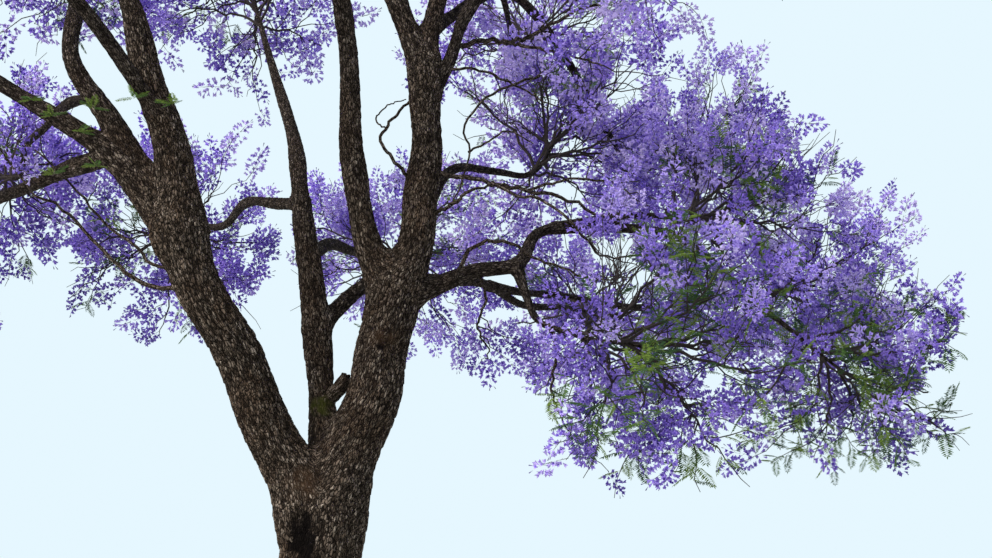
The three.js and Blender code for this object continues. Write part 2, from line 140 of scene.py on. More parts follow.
# Limbs that end in a fork: the limb that each leaves and at what share of it, its end, radii, way
FORKING = [
    dict(name="right_stem", leaves="trunk", at=0.86, end=(0.51, 0.03, 4.2), radii=(0.196, 0.176),
         way=[(0.26, 0.02, 3.13), (0.41, 0.02, 3.66)]),
    dict(name="left_limb", leaves="trunk", at=0.84, end=(-1.03, -0.5, 4.56), radii=(0.172, 0.158),
         way=[(-0.32, -0.12, 3.05), (-0.78, -0.4, 3.9)]),
    dict(name="leader", leaves="right_stem", at=0.87, end=(0.67, 0.04, 5.9), radii=(0.134, 0.116),
         way=[(0.64, 0.03, 4.5), (0.67, 0.04, 5.15)]),
]

# Boughs that end in a mass: its middle, its reach, and the bough's way or its turn and rise
BOUGHS = [
    dict(name="right", leaves="right_stem", at=0.88, mass=(3.0, 1.2, 5.0), reach=1.4,
         radii=(0.07, 0.027),
         way=[(1.0, 0.13, 4.21), (1.36, 0.2, 4.31), (1.52, 0.3, 4.62), (1.99, 0.5, 4.74)]),
    dict(name="right_low", leaves="right", at=0.4, mass=(2.25, -0.2, 3.6), reach=1.45,
         radii=(0.04, 0.022), way=[(1.42, 0.14, 4.06), (1.54, 0.05, 3.82)]),
    dict(name="right_far", leaves="right", at=0.62, mass=(4.25, 2.3, 3.9), reach=1.5,
         radii=(0.044, 0.024), turn=0.5, rise=-0.2),
    dict(name="right_middle", leaves="leader", at=0.3, mass=(1.75, 1.7, 5.9), reach=1.5,
         radii=(0.046, 0.024), turn=0.9, rise=0.3),
    dict(name="right_upper", leaves="leader", at=0.78, mass=(2.45, -0.5, 7.05), reach=1.6,
         radii=(0.052, 0.025), way=[(0.83, 0.03, 5.8), (1.05, 0, 6.33)]),
    dict(name="top_right", leaves="leader", at=0.92, mass=(1.3, 1.2, 8.45), reach=1.6,
         radii=(0.086, 0.026), way=[(0.7, 0.08, 6.1), (0.78, 0.15, 6.5)]),
    dict(name="top_left", leaves="leader", at=0.92, mass=(-0.6, -0.5, 8.55), reach=1.6,
         radii=(0.098, 0.026), way=[(0.53, 0.03, 6.1), (0.38, 0, 6.5)]),
    dict(name="right_back", leaves="top_right", at=0.18, mass=(3.1, 3.4, 6.2), reach=1.5,
         radii=(0.052, 0.025), turn=0.8, rise=0.2),
    dict(name="back_top", leaves="top_right", at=0.4, mass=(1.6, 3.4, 7.6), reach=1.5,
         radii=(0.042, 0.023), turn=0.6, rise=0.2),
    dict(name="front_upper", leaves="right_stem", at=0.9, mass=(-0.4, -2.3, 7.1), reach=1.6,
         radii=(0.112, 0.027), way=[(0.27, -0.02, 4.42), (0.19, -0.18, 4.98), (0.2, -0.65, 5.6)]),
    dict(name="front_right", leaves="right_upper", at=0.4, mass=(3, -2.6, 6.5), reach=1.5,
         radii=(0.04, 0.023), turn=0.7, rise=0.1),
    dict(name="front", leaves="front_upper", at=0.62, mass=(0.9, -4.1, 6.1), reach=1.6,
         radii=(0.05, 0.024), turn=0.6, rise=0),
    dict(name="back_upper", leaves="trunk", at=0.88, mass=(-1.1, 2.3, 7.6), reach=1.65,
         radii=(0.124, 0.027), way=[(-0.02, 0.16, 3.1), (-0.06, 0.2, 3.66), (-0.12, 0.26, 4.3)]),
    dict(name="back_left", leaves="back_upper", at=0.5, mass=(-2.2, 4.1, 5.7), reach=1.6,
         radii=(0.054, 0.024), turn=1.7, rise=0),
    dict(name="back", leaves="back_upper", at=0.4, mass=(0.2, 4.7, 5.7), reach=1.65,
         radii=(0.056, 0.025), turn=1.7, rise=0.1),
    dict(name="back_right", leaves="back_upper", at=0.29, mass=(2.3, 4.3, 4.9), reach=1.5,
         radii=(0.06, 0.025), way=[(0.3, 0.55, 4.3), (0.95, 1.6, 4.5)]),
    dict(name="far_right", leaves="back_right", at=0.55, mass=(4.35, 4.3, 5.2), reach=1.5,
         radii=(0.04, 0.024), turn=0.6, rise=0.1),
    dict(name="left_upper", leaves="left_limb", at=0.9, mass=(-2.2, -1.6, 7.3), reach=1.6,
         radii=(0.154, 0.028), way=[(-1.06, -0.6, 5.05), (-1.22, -0.7, 5.5), (-1.42, -0.8, 5.98)]),
    dict(name="left_top", leaves="left_limb", at=0.9, mass=(-2.6, 1.4, 7.5), reach=1.6,
         radii=(0.1, 0.026), way=[(-1.45, -0.45, 5.12), (-1.8, -0.4, 5.6), (-1.9, -0.2, 6.15)]),
    dict(name="left", leaves="left_limb", at=0.86, mass=(-4.1, -0.8, 5.9), reach=1.6,
         radii=(0.1, 0.026), way=[(-1.6, -0.45, 5), (-2.33, -0.45, 5.5)]),
    dict(name="left_low", leaves="left", at=0.3, mass=(-3.9, 1.8, 4.7), reach=1.5,
         radii=(0.07, 0.025), turn=1.6, rise=-0.1),
    dict(name="left_front", leaves="left_upper", at=0.3, mass=(-2.5, -3.8, 5.9), reach=1.6,
         radii=(0.056, 0.024), turn=1, rise=0),
    dict(name="left_back", leaves="left_top", at=0.35, mass=(-3.7, 3.4, 6.1), reach=1.55,
         radii=(0.046, 0.024), turn=1.7, rise=0.1),
]

# The pieces that the boughs' surfaces are joined into
BOUGH_GROUPS = {
    "boughs_right": ["right", "right_low", "right_far", "right_middle", "right_upper", "right_back"],
    "boughs_top": ["top_right", "top_left", "back_top"],
    "boughs_front": ["front_upper", "front", "front_right"],
    "boughs_back": ["back_upper", "back_left", "back", "back_right", "far_right"],
    "boughs_left": ["left_upper", "left_top", "left", "left_low", "left_front", "left_back"],
}
STEMS = ("trunk", "right_stem", "left_limb", "leader")

# The parts that the crown's pieces are made in, and the height from which a mass is in the top
SIDES = ("left", "right", "top")
TOP_FROM = 6.3

# Bark: how fine a limb's surface is, and the relief of its ridges and plates
FACET = 0.0078
FACET_LENGTH = 0.011
FINE_RADIUS = 0.15  # a limb with a thinner root has coarser facets, up to COARSEST times
COARSEST = 2
FEWEST_SIDES = 12
MOST_SIDES = 220
WEB = 0.9  # how wide the web is where limbs join, in radii of the thinner
WEB_RISE = 0.3  # the most that a web stands out, as a share of its width
WEB_TURNS = 4
STEM_END = 0.011
LENGTH_STEPS = 50  # how many places measure a limb's length
POINT_GAP = 0.02  # how far apart the spheres lie that stand for a limb where a web is drawn
GRAIN_SHIFT = 1.7  # how far the bark of each limb is shifted from the last one's, in metres
LATTICE = 32
LATTICE_SEED = 11
WANDER_SIZES = (0.05, 0.05, 0.09)
WANDER = 0.35  # how far the plates wander from their places, in shares of a plate
RIDGE_SIZE = np.array([0.027, 0.027, 0.09])
RIDGE_SLANT = 0.55  # radians that the ridges lean round the limb in each metre
CRACK = (0.02, 0.3)
CRACK_DEPTH = 0.0085
PLATE_TILT = 0.006
TILT_LIMIT = 0.6
FLUTE_SIZE = np.array([0.085, 0.085, 0.6])
FLUTE_DEPTH = 0.012
LUMP_SIZE = np.array([0.22, 0.22, 0.34])
LUMP_DEPTH = 0.024
FULL_BARK_RADIUS = 0.15  # a thinner limb has shallower bark, down to the share LEAST_RELIEF
LEAST_RELIEF = 0.12
SCALE_SIZE = (0.013, 0.013, 0.038)  # the small scales that the bark material draws
SCALE_DEPTH = 0.007
SCALE_WANDER = 1.1
GRIT_DEPTH = 0.003
BARK_SHINE = 0.04
PLAIN_SHINE = 0.08

# Knots, swellings and hollows: place, how wide, how tall and how far they stand out
KNOTS = [
    ((-0.09, -0.22, 2.33), 0.085, 0.2, -0.06),
    ((0.45, -0.17, 3.78), 0.14, 0.11, 0.016),
    ((0.42, -0.18, 3.64), 0.16, 0.03, -0.018),
    ((0.36, -0.2, 3.5), 0.05, 0.06, 0.014),
    ((-0.1, 0.05, 3.0), 0.03, 0.03, 0.014),
    ((0.67, -0.08, 5.22), 0.16, 0.02, 0.012),
    ((0.67, -0.08, 5.3), 0.16, 0.018, 0.01),
    ((0.12, -0.25, 1.7), 0.06, 0.08, 0.016),
    ((-0.2, 0.16, 1.35), 0.07, 0.09, 0.018),
    ((-0.6, -0.42, 3.55), 0.07, 0.08, 0.018),
]
# Painted shade: near-black spots in the trunk's hollow and in a crease of the right stem, where shade falls
HOLLOW_SHADE_SPOTS = [((-0.08, -0.24, 2.28), 0.15, 0.27), ((0.41, -0.19, 3.62), 0.07, 0.03)]
MOSS = [((-0.05, 0.06, 3.26), 0.17, 0.12), ((0.0, 0.2, 2.95), 0.12, 0.16)]
RUST = [((-0.09, -0.22, 2.66), 0.13, 0.14), ((0.45, -0.17, 3.68), 0.16, 0.07)]

# Each stain, and the painted shade of the hollows: its spots, its even share, its patchy share, the size of
# its patches, their noise layer
STAINS_AND_SHADE = {
    "moss": (MOSS, 0.6, 0.4, 0.04, 3),
    "rust": (RUST, 0.75, 0.4, 0.03, 1),
    # painted shade, not a stain: near-black in the hollow and the crease
    "hollow": (HOLLOW_SHADE_SPOTS, 0.7, 0.45, 0.05, 2),
}

# A broken stub: its foot inside its limb, its end and its two radii
STUB = ((-0.04, 0.2, 3.3), (0.15, 0.09, 3.45), (0.06, 0.05))
STUB_RINGS = 14
STUB_SIDES = 28
STUB_END = 0.55  # how much its last ring narrows
STUB_SAG = 0.03
STUB_RIM = 0.93  # from which share of its length it is ragged
STUB_RAGGED = 0.016
STUB_ROUGH = 0.005
STUB_ROUGH_SIZE = 0.02
STUB_SUNKEN = 0.014
STUB_BARK = 0.6  # how thick its limb counts for the look of its bark, as a share of FULL_BARK_RADIUS

# Finer twigs: lengths in shares of a mass's reach; radii, rooms and the kinks of twigs in metres
MORE_TWIGS = 11
MORE_TWIG_ROOTS = (0.98, 0.05)
MORE_TWIG_LENGTHS = (0.75, 1.3)
SHOOT_PLACES = np.array([0.22, 0.36, 0.5, 0.64, 0.78, 0.9, 1.0])
SHOOT_LENGTH = 0.4
SHOOT_UNEVEN = 0.3
SHOOT_SHORTER = (1, 0.8, 0.6, 0.45)
SHOOT_SPREAD = (0.5, 1.1)
SHOOT_AHEAD = 0.15  # the spread of the last shoot of a twig
SHOOT_STRAY = 0.05  # how far before its place a shoot may leave
SHOOT_TURN = 0.4
SHOOT_LIFT = 0.3
SHOOT_CURL = 0.06
SHOOT_KINK = 0.06
SHOOT_STEPS = 6
SHOOT_SIDES = 3
SHOOT_RADII = (0.0065, 0.0025)
SPRAY_SHOOT = 0.8  # the share of a spray's length that its own shoot takes
TWIG_STEPS = 9
TWIG_KINK = 0.024
TWIG_SIDES = 4
TWIG_RADII = (0.014, 0.0065)
TIP_ROOM = 0.04
BOX_ROOM = 0.05

# Thin branches and leaf tufts that the photograph shows: across and down in its pixels, and how
# far back they lie in metres
STRAY_STEPS = 26
STRAY_KINK = 0.75  # how far a thin branch kinks aside, in shares of its root's radius
STRAY_SIDES = 7
STRAY_SHOOTS = np.array([0.5, 0.62, 0.74, 0.86, 1.0])
STRAY_SPREAD = 0.9
STRAY_AHEAD = 0.2
STRAY_FINER = 0.78  # the share of the usual length that the panicles on thin branches have
STRAY_THIN = 0.62  # how young the bark of a thin branch looks, from nought to one
STRAY_LENGTHS = (0.25, 0.5)  # their shoots, in metres
STRAY_LIGHT = 0.8  # a power that sets the tints of their panicles, as painted light and shade: below one, deeper
STRAYS = [
    dict(radii=(0.019, 0.009), blooms=True,
         way=[(430, 170, 0.05), (461, 177, 0.02), (492, 182, 0), (538, 193, 0.05), (566, 198, 0.1),
              (604, 219, 0.2), (640, 232, 0.3)]),
    dict(radii=(0.017, 0.007), blooms=False,
         way=[(430, 216, 0.03), (452, 204, -0.05), (473, 190, -0.06), (510, 184, -0.02)]),
    dict(radii=(0.017, 0.006), blooms=True,
         way=[(452, 282, 0.1), (461, 266, -0.03), (473, 246, -0.05), (506, 242, -0.05), (535, 257, 0),
              (579, 275, 0), (612, 280, 0.1)]),
    dict(radii=(0.013, 0.006), blooms=True,
         way=[(492, 182, 0), (515, 195, -0.05), (538, 199, -0.05), (568, 219, -0.1), (591, 246, -0.1),
              (605, 257, 0), (640, 254, 0.1)]),
    dict(radii=(0.012, 0.005), blooms=True,
         way=[(528, 190, 0.04), (547, 184, 0), (579, 179, 0), (616, 184, 0.1), (636, 200, 0.2)]),
    dict(radii=(0.009, 0.005), blooms=False,
         way=[(468, 152, 0.15), (490, 140, 0.1), (508, 131, 0.1), (533, 144, 0.15)]),
    dict(radii=(0.011, 0.006), blooms=False,
         way=[(540, 76, 0.2), (506, 87, 0.15), (480, 103, 0.1), (464, 130, 0.1), (470, 152, 0.05),
              (458, 192, 0), (452, 205, -0.02)]),
    dict(radii=(0.014, 0.01), blooms=False,
         way=[(412, 182, 0.05), (396, 163, -0.05), (381, 142, -0.06), (389, 123, -0.05), (410, 100, 0.04)]),
    dict(radii=(0.007, 0.004), blooms=False,
         way=[(386, 129, -0.05), (376, 120, -0.06), (386, 107, -0.05), (406, 99, 0.03)]),
    dict(radii=(0.013, 0.006), blooms=True,
         way=[(432, 80, 0.05), (456, 69, 0), (485, 72, 0), (520, 88, 0.1), (548, 104, 0.1)]),
    dict(radii=(0.022, 0.01), blooms=True,
         way=[(457, 45, 0.02), (482, 40, 0.1), (503, 42, 0.15), (520, 40, 0.2), (541, 31, 0.2),
              (572, 14, 0.2), (600, 4, 0.2)]),
    dict(radii=(0.015, 0.006), blooms=True,
         way=[(503, 42, 0.15), (535, 48, 0.12), (560, 53, 0.1), (604, 66, 0.1)]),
    dict(radii=(0.014, 0.006), blooms=True,
         way=[(548, 322, 0.05), (556, 352, 0), (552, 392, 0), (568, 430, 0.1)]),
    dict(radii=(0.013, 0.006), blooms=True,
         way=[(480, 277, 0.12), (486, 296, 0.3), (478, 326, 0.6), (490, 352, 0.9)]),
    dict(radii=(0.018, 0.006), blooms=True,
         way=[(180, 290, -0.3), (158, 287, -0.25), (137, 280, -0.2), (114, 261, -0.15), (88, 234, -0.1),
              (57, 204, -0.1), (38, 198, -0.1), (23, 179, 0), (0, 147, 0)]),
    dict(radii=(0.013, 0.005), blooms=True,
         way=[(168, 268, -0.3), (150, 262, -0.2), (130, 242, -0.1), (105, 223, 0), (80, 194, 0),
              (53, 166, 0), (23, 143, 0.1), (0, 130, 0.1)]),
]
TUFTS = [(30, 100, -0.62), (52, 116, -0.6), (80, 132, -0.6), (92, 108, -0.62), (134, 98, -0.95),
         (172, 104, -0.95), (96, 166, -0.62), (53, 174, -0.6)]
TUFT_LEAVES = 6
TUFT_LEAF = (0.07, 0.12)
TUFT_SPREAD = (1, 0.5, 0.35)
TUFT_AIM = (0, -0.3, 0.35)

# Panicles of flowers: where they stand on their shoots, how many there are and how pale, which is partly
# painted light and shade
SHAPE_SEED = 5
PANICLE_KINDS = 6
PANICLE_LENGTH = (0.2, 0.3)
PANICLE_LIFT = 0.3
PANICLE_STRAY = 0.35
PANICLE_SPREAD = 0.9
PANICLE_AHEAD = 0.1
PANICLE_FOOT = 0.02  # how far before its place it leaves, so that its foot is in the shoot
PANICLE_BODY = 0.8  # the share of its length that keeps clear of limbs
PANICLE_PLACES = (0.46, 0.67, 0.85, 1.0)
PANICLE_CHANCE = (0.35, 0.6, 0.85, 1.0)
CLUMP_SIZE = 0.42
CLUMP = ((-0.28, 0.04), (0.04, 1))  # how much of its blossom a shoot bears in a gap and in a clump
# The share of panicles that a mass has, which is high where its blossom hides the sky
BLOOM = dict(back=4, back_left=2.4, back_upper=2, right_middle=3.2, back_top=1.6, right_upper=1,
             back_right=2, left_back=1.8, right_low=1.7, right=1.6, right_far=1.6, right_back=1.5,
             far_right=1.5)
USUAL_BLOOM = 1.2  # and what every other mass has
FINER = dict(right_low=0.8, right=0.88)  # the share of the usual length in the two nearest masses
TOP_LIGHT = ((3.5, 0.5), (5, 1.05), (6, 1.9), (7, 2.6))  # a power that pales high masses and deepens low ones, as painted light and shade
SIDE_LIGHT = ((-2.5, 0.4), (0.5, 1))  # and one that gives the left ones deeper tints, as painted shade
# The tints' random unevenness, and painted shade by height: a lower panicle gets a deeper tint
TINT_UNEVEN = 0.5
TINT_BY_HEIGHT = 0.35

# One panicle, in shares of its length
PANICLE_WIDTH = 0.18
PANICLE_WIDEST = 0.38
PANICLE_HALF = 0.66
PANICLE_LEAST = 0.02
AXIS_WAVE = 0.05
AXIS_WAVES = 5
AXIS_LENGTH = 0.82
AXIS_FOOT = 0.08
AXIS_BENDS = np.array([[0, 0, -0.04], [0.04, 0.01, 0.45], [0.02, 0, 1.0]])
AXIS_RADIUS = 0.013
STALK_RADIUS = 0.007
STALK_FOOT = (1, 1, 0.8)
FIRST_STALK = 3
STALK_EVERY = 6
FLOWERS = 24
FLOWER_LENGTH = 0.19
FLOWER_SIZES = (0.85, 1.15)
FLOWER_PLACES = (0.06, 0.98)
FLOWER_STRAY = 0.03
FLOWER_TURN = 0.5
FLOWER_REACH = (0.7, 1.2)
FLOWER_LEVEL = 0.35  # the share of the axis where flowers point level
FLOWER_RISE = 1.3
FLOWER_UNEVEN = 0.35
BUDS = 2
BUD_RISE = 2.2
BUD_PLACES = (0.8, 0.95)
BUD_OFF = 0.06
BUD_LENGTH = 0.07
BUD_RADIUS = 0.02

# One flower, in shares of its length
FLOWER_BEND = (0.05, 0.16)
LOBES = 4
THROAT = 0.28
THROAT_AT = 0.78
MOUTH = 0.45
LOBE_REACH = (0.85, 1.15)
LOBE_AT = (0.92, 1.04)
LOBE_BEND = 1.6  # how far the lobes bend aside, in bends of the throat

# Where the photograph shows sky through the crown: across and down in its pixels, and how far
# from there the middle of a panicle keeps
OPENINGS = np.array([
    (627, 80, 24), (620, 96, 20), (455, 128, 26), (488, 131, 15), (562, 20, 16), (590, 24, 14),
    (575, 63, 14), (550, 102, 14), (502, 100, 15), (492, 68, 13), (625, 34, 13), (528, 8, 15),
    (822, 192, 18), (822, 218, 18), (775, 226, 13), (884, 288, 15), (826, 248, 13), (724, 82, 15),
    (600, 250, 16), (622, 262, 18), (645, 275, 15), (625, 240, 12), (612, 285, 12), (630, 300, 14),
])

# Leaves: how many there are, and where they stand on their shoots
LEAF_KINDS = 3
LEAF_LENGTH = (0.12, 0.22)
LEAVES_ON_SHOOT = 10
LEAF_PLACES = (0.3, 0.98)
LEAF_TURN = 0.5
LEAF_SPREAD = 0.95
LEAF_LIFT = 0.15
LEAF_BODY = 0.9  # the share of its length that keeps clear of limbs
LEAFY_BY_HEIGHT = ((3.7, 0.4), (4.6, 0.17), (6, 0.03), (8, 0.01))
LEAF_DEPTH = 0.3  # how far inside a mass's reach its leaves end

# One leaf, in shares of its length
PINNAE = 11
PINNA_PLACES = (0.14, 0.95)
PINNA_LENGTH = 0.33
PINNA_SWELL = (0.12, 0.8)
PINNA_FULLNESS = 0.7
PINNA_SIZES = (0.82, 1.12)
PINNA_FORWARD = 0.4
PINNA_STRAY = 0.1
PINNA_LIFT = 0.22
PINNA_TIP = (0, 0.04, 0)
END_PINNA = 0.97
BLADE = 0.032
BLADE_WIDEST = 0.45
BLADE_TURN = 0.25
LEAF_DROOP = 0.24
LEAF_AXIS = 0.94
LEAF_BENDS = np.array([[0, 0, -0.03], [0, LEAF_DROOP * 0.22, 0.45], [0, LEAF_DROOP, 0.95]])
LEAF_STALK_RADIUS = 0.01

# Colours
BARK_DARK = (0.062, 0.046, 0.034)
BARK_LIGHT = (0.28, 0.215, 0.165)
BARK_PALE = (0.56, 0.46, 0.37)
BARK_CRACK = (0.007, 0.005, 0.004)
BARK_LICHEN = (0.32, 0.27, 0.21)
BARK_WARM = (0.15, 0.095, 0.06)
BARK_RUST = (0.1, 0.055, 0.03)
BARK_YOUNG = (0.07, 0.06, 0.054)
MOSS_COLOUR = (0.07, 0.075, 0.015)
# painted shade for the hollow and the crease
PAINTED_HOLLOW_SHADE = (0.004, 0.003, 0.003)
TWIG_COLOUR = (0.052, 0.043, 0.041)
STALK_COLOUR = (0.06, 0.05, 0.06)
BUD_COLOUR = (0.1, 0.06, 0.25)
# Five tints of one violet, dealt out partly at random and partly as painted light and shade: paler up high,
# deeper low down and on the left
BLOSSOM_TINTS = [
    ("milky", (0.68, 0.57, 1.0)),
    ("pale", (0.59, 0.47, 1.0)),
    ("clear", (0.48, 0.355, 0.97)),
    ("full", (0.35, 0.24, 0.81)),
    ("deep", (0.22, 0.145, 0.6)),
]
LEAF_TINTS = [
    ("young", (0.2, 0.3, 0.055)),
    ("full", (0.105, 0.2, 0.05)),
    ("shaded", (0.055, 0.115, 0.045)),
]

# The photograph's camera
CAMERA_PLACE = (1.2, -9.5, 1.6)
CAMERA_PITCH = 15
CAMERA_LENS = 50
CAMERA_SENSOR = 36
PHOTO_SIZE = (992, 558)
PITCH = math.radians(CAMERA_PITCH)
FOCUS = CAMERA_LENS / CAMERA_SENSOR * PHOTO_SIZE[0]  # the lens's focal length in those pixels

# Floor and light: a pale sky all round, and a wide soft sun from the upper left in front
FLOOR_SIZE = 60
FLOOR_COLOUR = (0.52, 0.52, 0.5)
SKY_COLOUR = (0.79, 0.93, 1.0)
SKY_LIGHT = 0.68  # how strongly the sky lights the tree, where one is how bright it looks
SUN_FROM = (-0.6, -0.55, 0.6)
SUN_SPREAD = 45
SUN_STRENGTH = 3.9
SUN_COLOUR = (1.0, 0.93, 0.86)


def seeded(seed):
    """The solids' random numbers: each is the last times a fixed factor, left over from a prime."""
    state = seed * SEED_STEP + SEED_START
    while True:
        state = state * SEED_FACTOR % SEED_RANGE
        yield state / SEED_RANGE


def uneven(random):
    """A factor about one that differs by up to UNEVEN either way."""
    return 1 - UNEVEN + 2 * UNEVEN * next(random)


def unit(vectors):
    """Vectors at a length of one."""
    return vectors / np.maximum(np.linalg.norm(vectors, axis=-1, keepdims=True), TINY)


def smoothstep(values, low, high):
    """Nought below low, one above high, and an eased rise between."""
    share = np.clip((values - low) / (high - low), 0, 1)
    return share * share * (3 - 2 * share)


def square(direction):
    """Two directions square to each direction, the first of them level."""
    level = np.cross(direction, UP)
    size = np.linalg.norm(level, axis=-1, keepdims=True)
    level = np.where(size < NEARLY_UPRIGHT, [1.0, 0.0, 0.0], level / np.maximum(size, TINY))
    return level, unit(np.cross(level, direction))


def paced_curve(places):
    """A centripetal Catmull-Rom curve through places, evenly paced.

    Each stretch is the cubic whose slopes at its ends come from the square roots of the
    distances around it. The share of the length is read off many short straight steps.
    """
    points = np.vstack([2 * places[0] - places[1], places, 2 * places[-1] - places[-2]])
    spans = np.sqrt(np.linalg.norm(np.diff(points, axis=0), axis=1))[:, None]
    before, here, after = spans[:-2], spans[1:-1], spans[2:]
    a, b, c, d = points[:-3], points[1:-2], points[2:-1], points[3:]
    leaving = ((b - a) / before - (c - a) / (before + here) + (c - b) / here) * here
    arriving = ((c - b) / here - (d - b) / (here + after) + (d - c) / after) * here
    squared = 3 * (c - b) - 2 * leaving - arriving
    cubed = 2 * (b - c) + leaving + arriving

    def at(share):
        """The place on the cubic of the stretch that a share of all stretches falls in."""
        way = share * len(b)
        k = np.minimum(way.astype(int), len(b) - 1)
        rest = (way - k)[..., None]
        return ((cubed[k] * rest + squared[k]) * rest + leaving[k]) * rest + b[k]

    steps = np.linspace(0, 1, CURVE_DIVISIONS + 1)
    strides = np.linalg.norm(np.diff(at(steps), axis=0), axis=1)
    run = np.concatenate([[0], np.cumsum(strides)])
    return lambda u: at(np.interp(np.clip(u, 0, 1) * run[-1], run, steps))


def swaying_line(places, seed):
    """The curve through places, with two slow waves across it that fade out at its ends."""
    curve = paced_curve(places)
    chord = places[-1] - places[0]
    length = np.linalg.norm(chord)
    level, steep = square(unit(chord))
    random = seeded(seed)
    phases = [next(random) * TURN, next(random) * TURN]

    def at(u):
        """The curve's place at u, moved across and over by the two waves."""
        u = np.asarray(u, float)
        swing = SWAY * length * np.sin(np.pi * u) ** 2
        across = swing * np.sin(3 * np.pi * u + phases[0])
        over = swing * np.sin(4 * np.pi * u + phases[1])
        return curve(u) + across[..., None] * level + over[..., None] * steep

    return at


def heading(line, u):
    """The direction of a line at u."""
    u = np.asarray(u, float)
    return unit(line(np.minimum(u + HALF_STEP, 1)) - line(np.maximum(u - HALF_STEP, 0)))


def rounded_top(u):
    """Rounds off the top of a limb that forks, as a quarter of an ellipse does."""
    past = np.clip((u - 1 + CROWN_OF_FORK) / CROWN_OF_FORK, 0, 1)
    return FORK_END + (1 - FORK_END) * np.sqrt(1 - past * past)


def trunk_radius(u, angle):
    """A gentle taper, with a flare and buttress ridges that die away above the ground."""
    height = u * TRUNK_HEIGHT
    widening = smoothstep(u, *TRUNK_WIDENS)
    taper = TRUNK_RADIUS + (TRUNK_TOP_RADIUS - TRUNK_RADIUS) * widening
    flare = FLARE_RADIUS * np.exp(-height / FLARE_HEIGHT)
    depth = BUTTRESS_DEPTH * np.exp(-height / BUTTRESS_HEIGHT)
    ridge = depth * np.cos(BUTTRESSES * angle + BUTTRESS_TURN)
    return (taper + flare) * (1 + ridge) * rounded_top(u)


def limb_radius(limb, u):
    """An even taper, with a collar that dies away from where the limb leaves its parent."""
    root, tip = limb.radii
    beyond = np.maximum(0, u * limb.length - limb.parent_radius)
    even = root + (tip - root) * u
    collar = COLLAR * np.exp(-beyond / (COLLAR_LENGTH * root))
    widest = np.maximum(even, COLLAR_LIMIT * limb.parent_radius)
    return np.minimum(even * (1 + collar), widest) * (rounded_top(u) if limb.forks else 1)


def grow_trunk():
    """The trunk's line and radius."""
    line = swaying_line(np.array(TRUNK_WAY, float), TRUNK_SEED)
    trunk = SimpleNamespace(name="trunk", node="trunk", line=line, whole=line, stop=1.0, forks=True)
    trunk.length = TRUNK_HEIGHT
    trunk.radius = trunk_radius
    trunk.radii = (TRUNK_RADIUS, TRUNK_TOP_RADIUS)
    trunk.centre = trunk.parent = None
    return trunk


def way_by_turn(start, leaving, end, turn, rise):
    """The two bends of a limb with no way of its own."""
    length = np.linalg.norm(end - start)
    own = unit(end - start)
    away = unit(leaving * (1 - turn / 2) + own * turn)
    arriving = unit(own + UP * rise)
    return [start + away * length * HANDLE, end - arriving * length * HANDLE]


def grow_limb(plan, parent, seed):
    """A limb's line and radius, worked out from the limb that it leaves."""
    start = parent.line(plan["at"])
    target = np.array(plan.get("end") or plan["mass"], float)
    if "way" in plan:
        way = list(np.array(plan["way"], float))
    else:
        leaving = heading(parent.line, plan["at"])
        way = way_by_turn(start, leaving, target, plan["turn"], plan["rise"])
    whole = swaying_line(np.array([start, *way, target]), seed)
    stop = 1.0
    if "mass" in plan:
        while np.linalg.norm(whole(stop) - target) < ENTRY * plan["reach"]:
            stop -= STOP_STEP
    limb = SimpleNamespace(name=plan["name"], whole=whole, stop=stop, parent=parent)
    limb.forks = "end" in plan
    limb.node = limb.name if limb.forks else "bough_" + limb.name
    limb.radii = plan["radii"]
    limb.reach = plan.get("reach")
    limb.centre = None if limb.forks else target
    limb.line = lambda u: whole(np.asarray(u) * stop)
    limb.stem = lambda u: whole(stop + (1 - stop) * np.asarray(u))
    limb.length = np.linalg.norm(target - start) * stop
    limb.parent_radius = float(parent.radius(np.array(plan["at"]), 0))
    limb.radius = lambda u, angle=0: limb_radius(limb, u)
    return limb


def full_radius(limb, share, angle):
    """A limb's radius along its whole line, on past the bough's tip to the end of its stem."""
    past = np.maximum(share - limb.stop, 0) / max(1 - limb.stop, TINY)
    bough = limb.radius(np.minimum(share / limb.stop, 1), angle)
    return bough + past * (STEM_END - limb.radii[1]) if limb.centre is not None else bough


def in_cell(points, mass, masses, margin):
    """Which points lie in a mass's own space: within its reach, and on its side of the planes
    that part it from its neighbours."""
    off = points - mass.centre
    inside = np.linalg.norm(off / [1, 1, FLATNESS], axis=-1) <= mass.reach - margin
    for other in masses:
        if other is not mass:
            across = other.centre - mass.centre
            apart = np.linalg.norm(across)
            share = mass.reach / (mass.reach + other.reach)
            inside &= off @ across / apart < apart * share - margin
    return inside


def clear_of_limbs(points, widths):
    """Which points lie further than their width from every limb."""
    gaps = np.linalg.norm(points[:, None] - limb_points[None], axis=2) - limb_radii[None]
    return np.all(gaps >= np.reshape(widths, (-1, 1)) + LIMB_CLEARANCE, axis=1)


def clear_way(start, end, width_at):
    """Whether a form from start to end keeps clear of every limb."""
    u = np.linspace(0, 1, CLEARANCE_STEPS + 1)
    points = start + (end - start) * u[:, None]
    return bool(np.all(clear_of_limbs(points, width_at(u))))


def spray_corners(spray):
    """The corners of a spray's spindle."""
    level, steep = square(spray.direction)
    waist = spray.root + spray.direction * spray.length * SPRAY_WAIST
    tip = spray.root + spray.direction * spray.length
    wide = level * spray.width / 2
    thick = steep * spray.thickness / 2
    return np.array([tip, waist + wide, waist - wide, waist + thick, waist - thick])


def is_apart(spray, sprays):
    """Whether a spray keeps clear of the ones that its mass already has."""
    own = spray.root + spray.direction * spray.length * SPRAY_PARTS[:, None]
    for other in sprays:
        theirs = other.root + other.direction * other.length * SPRAY_PARTS[:, None]
        gaps = np.linalg.norm(own[:, None] - theirs[None], axis=2)
        if np.any(gaps <= SPRAY_ROOM * (spray.width + other.width) / 2):
            return False
    return True


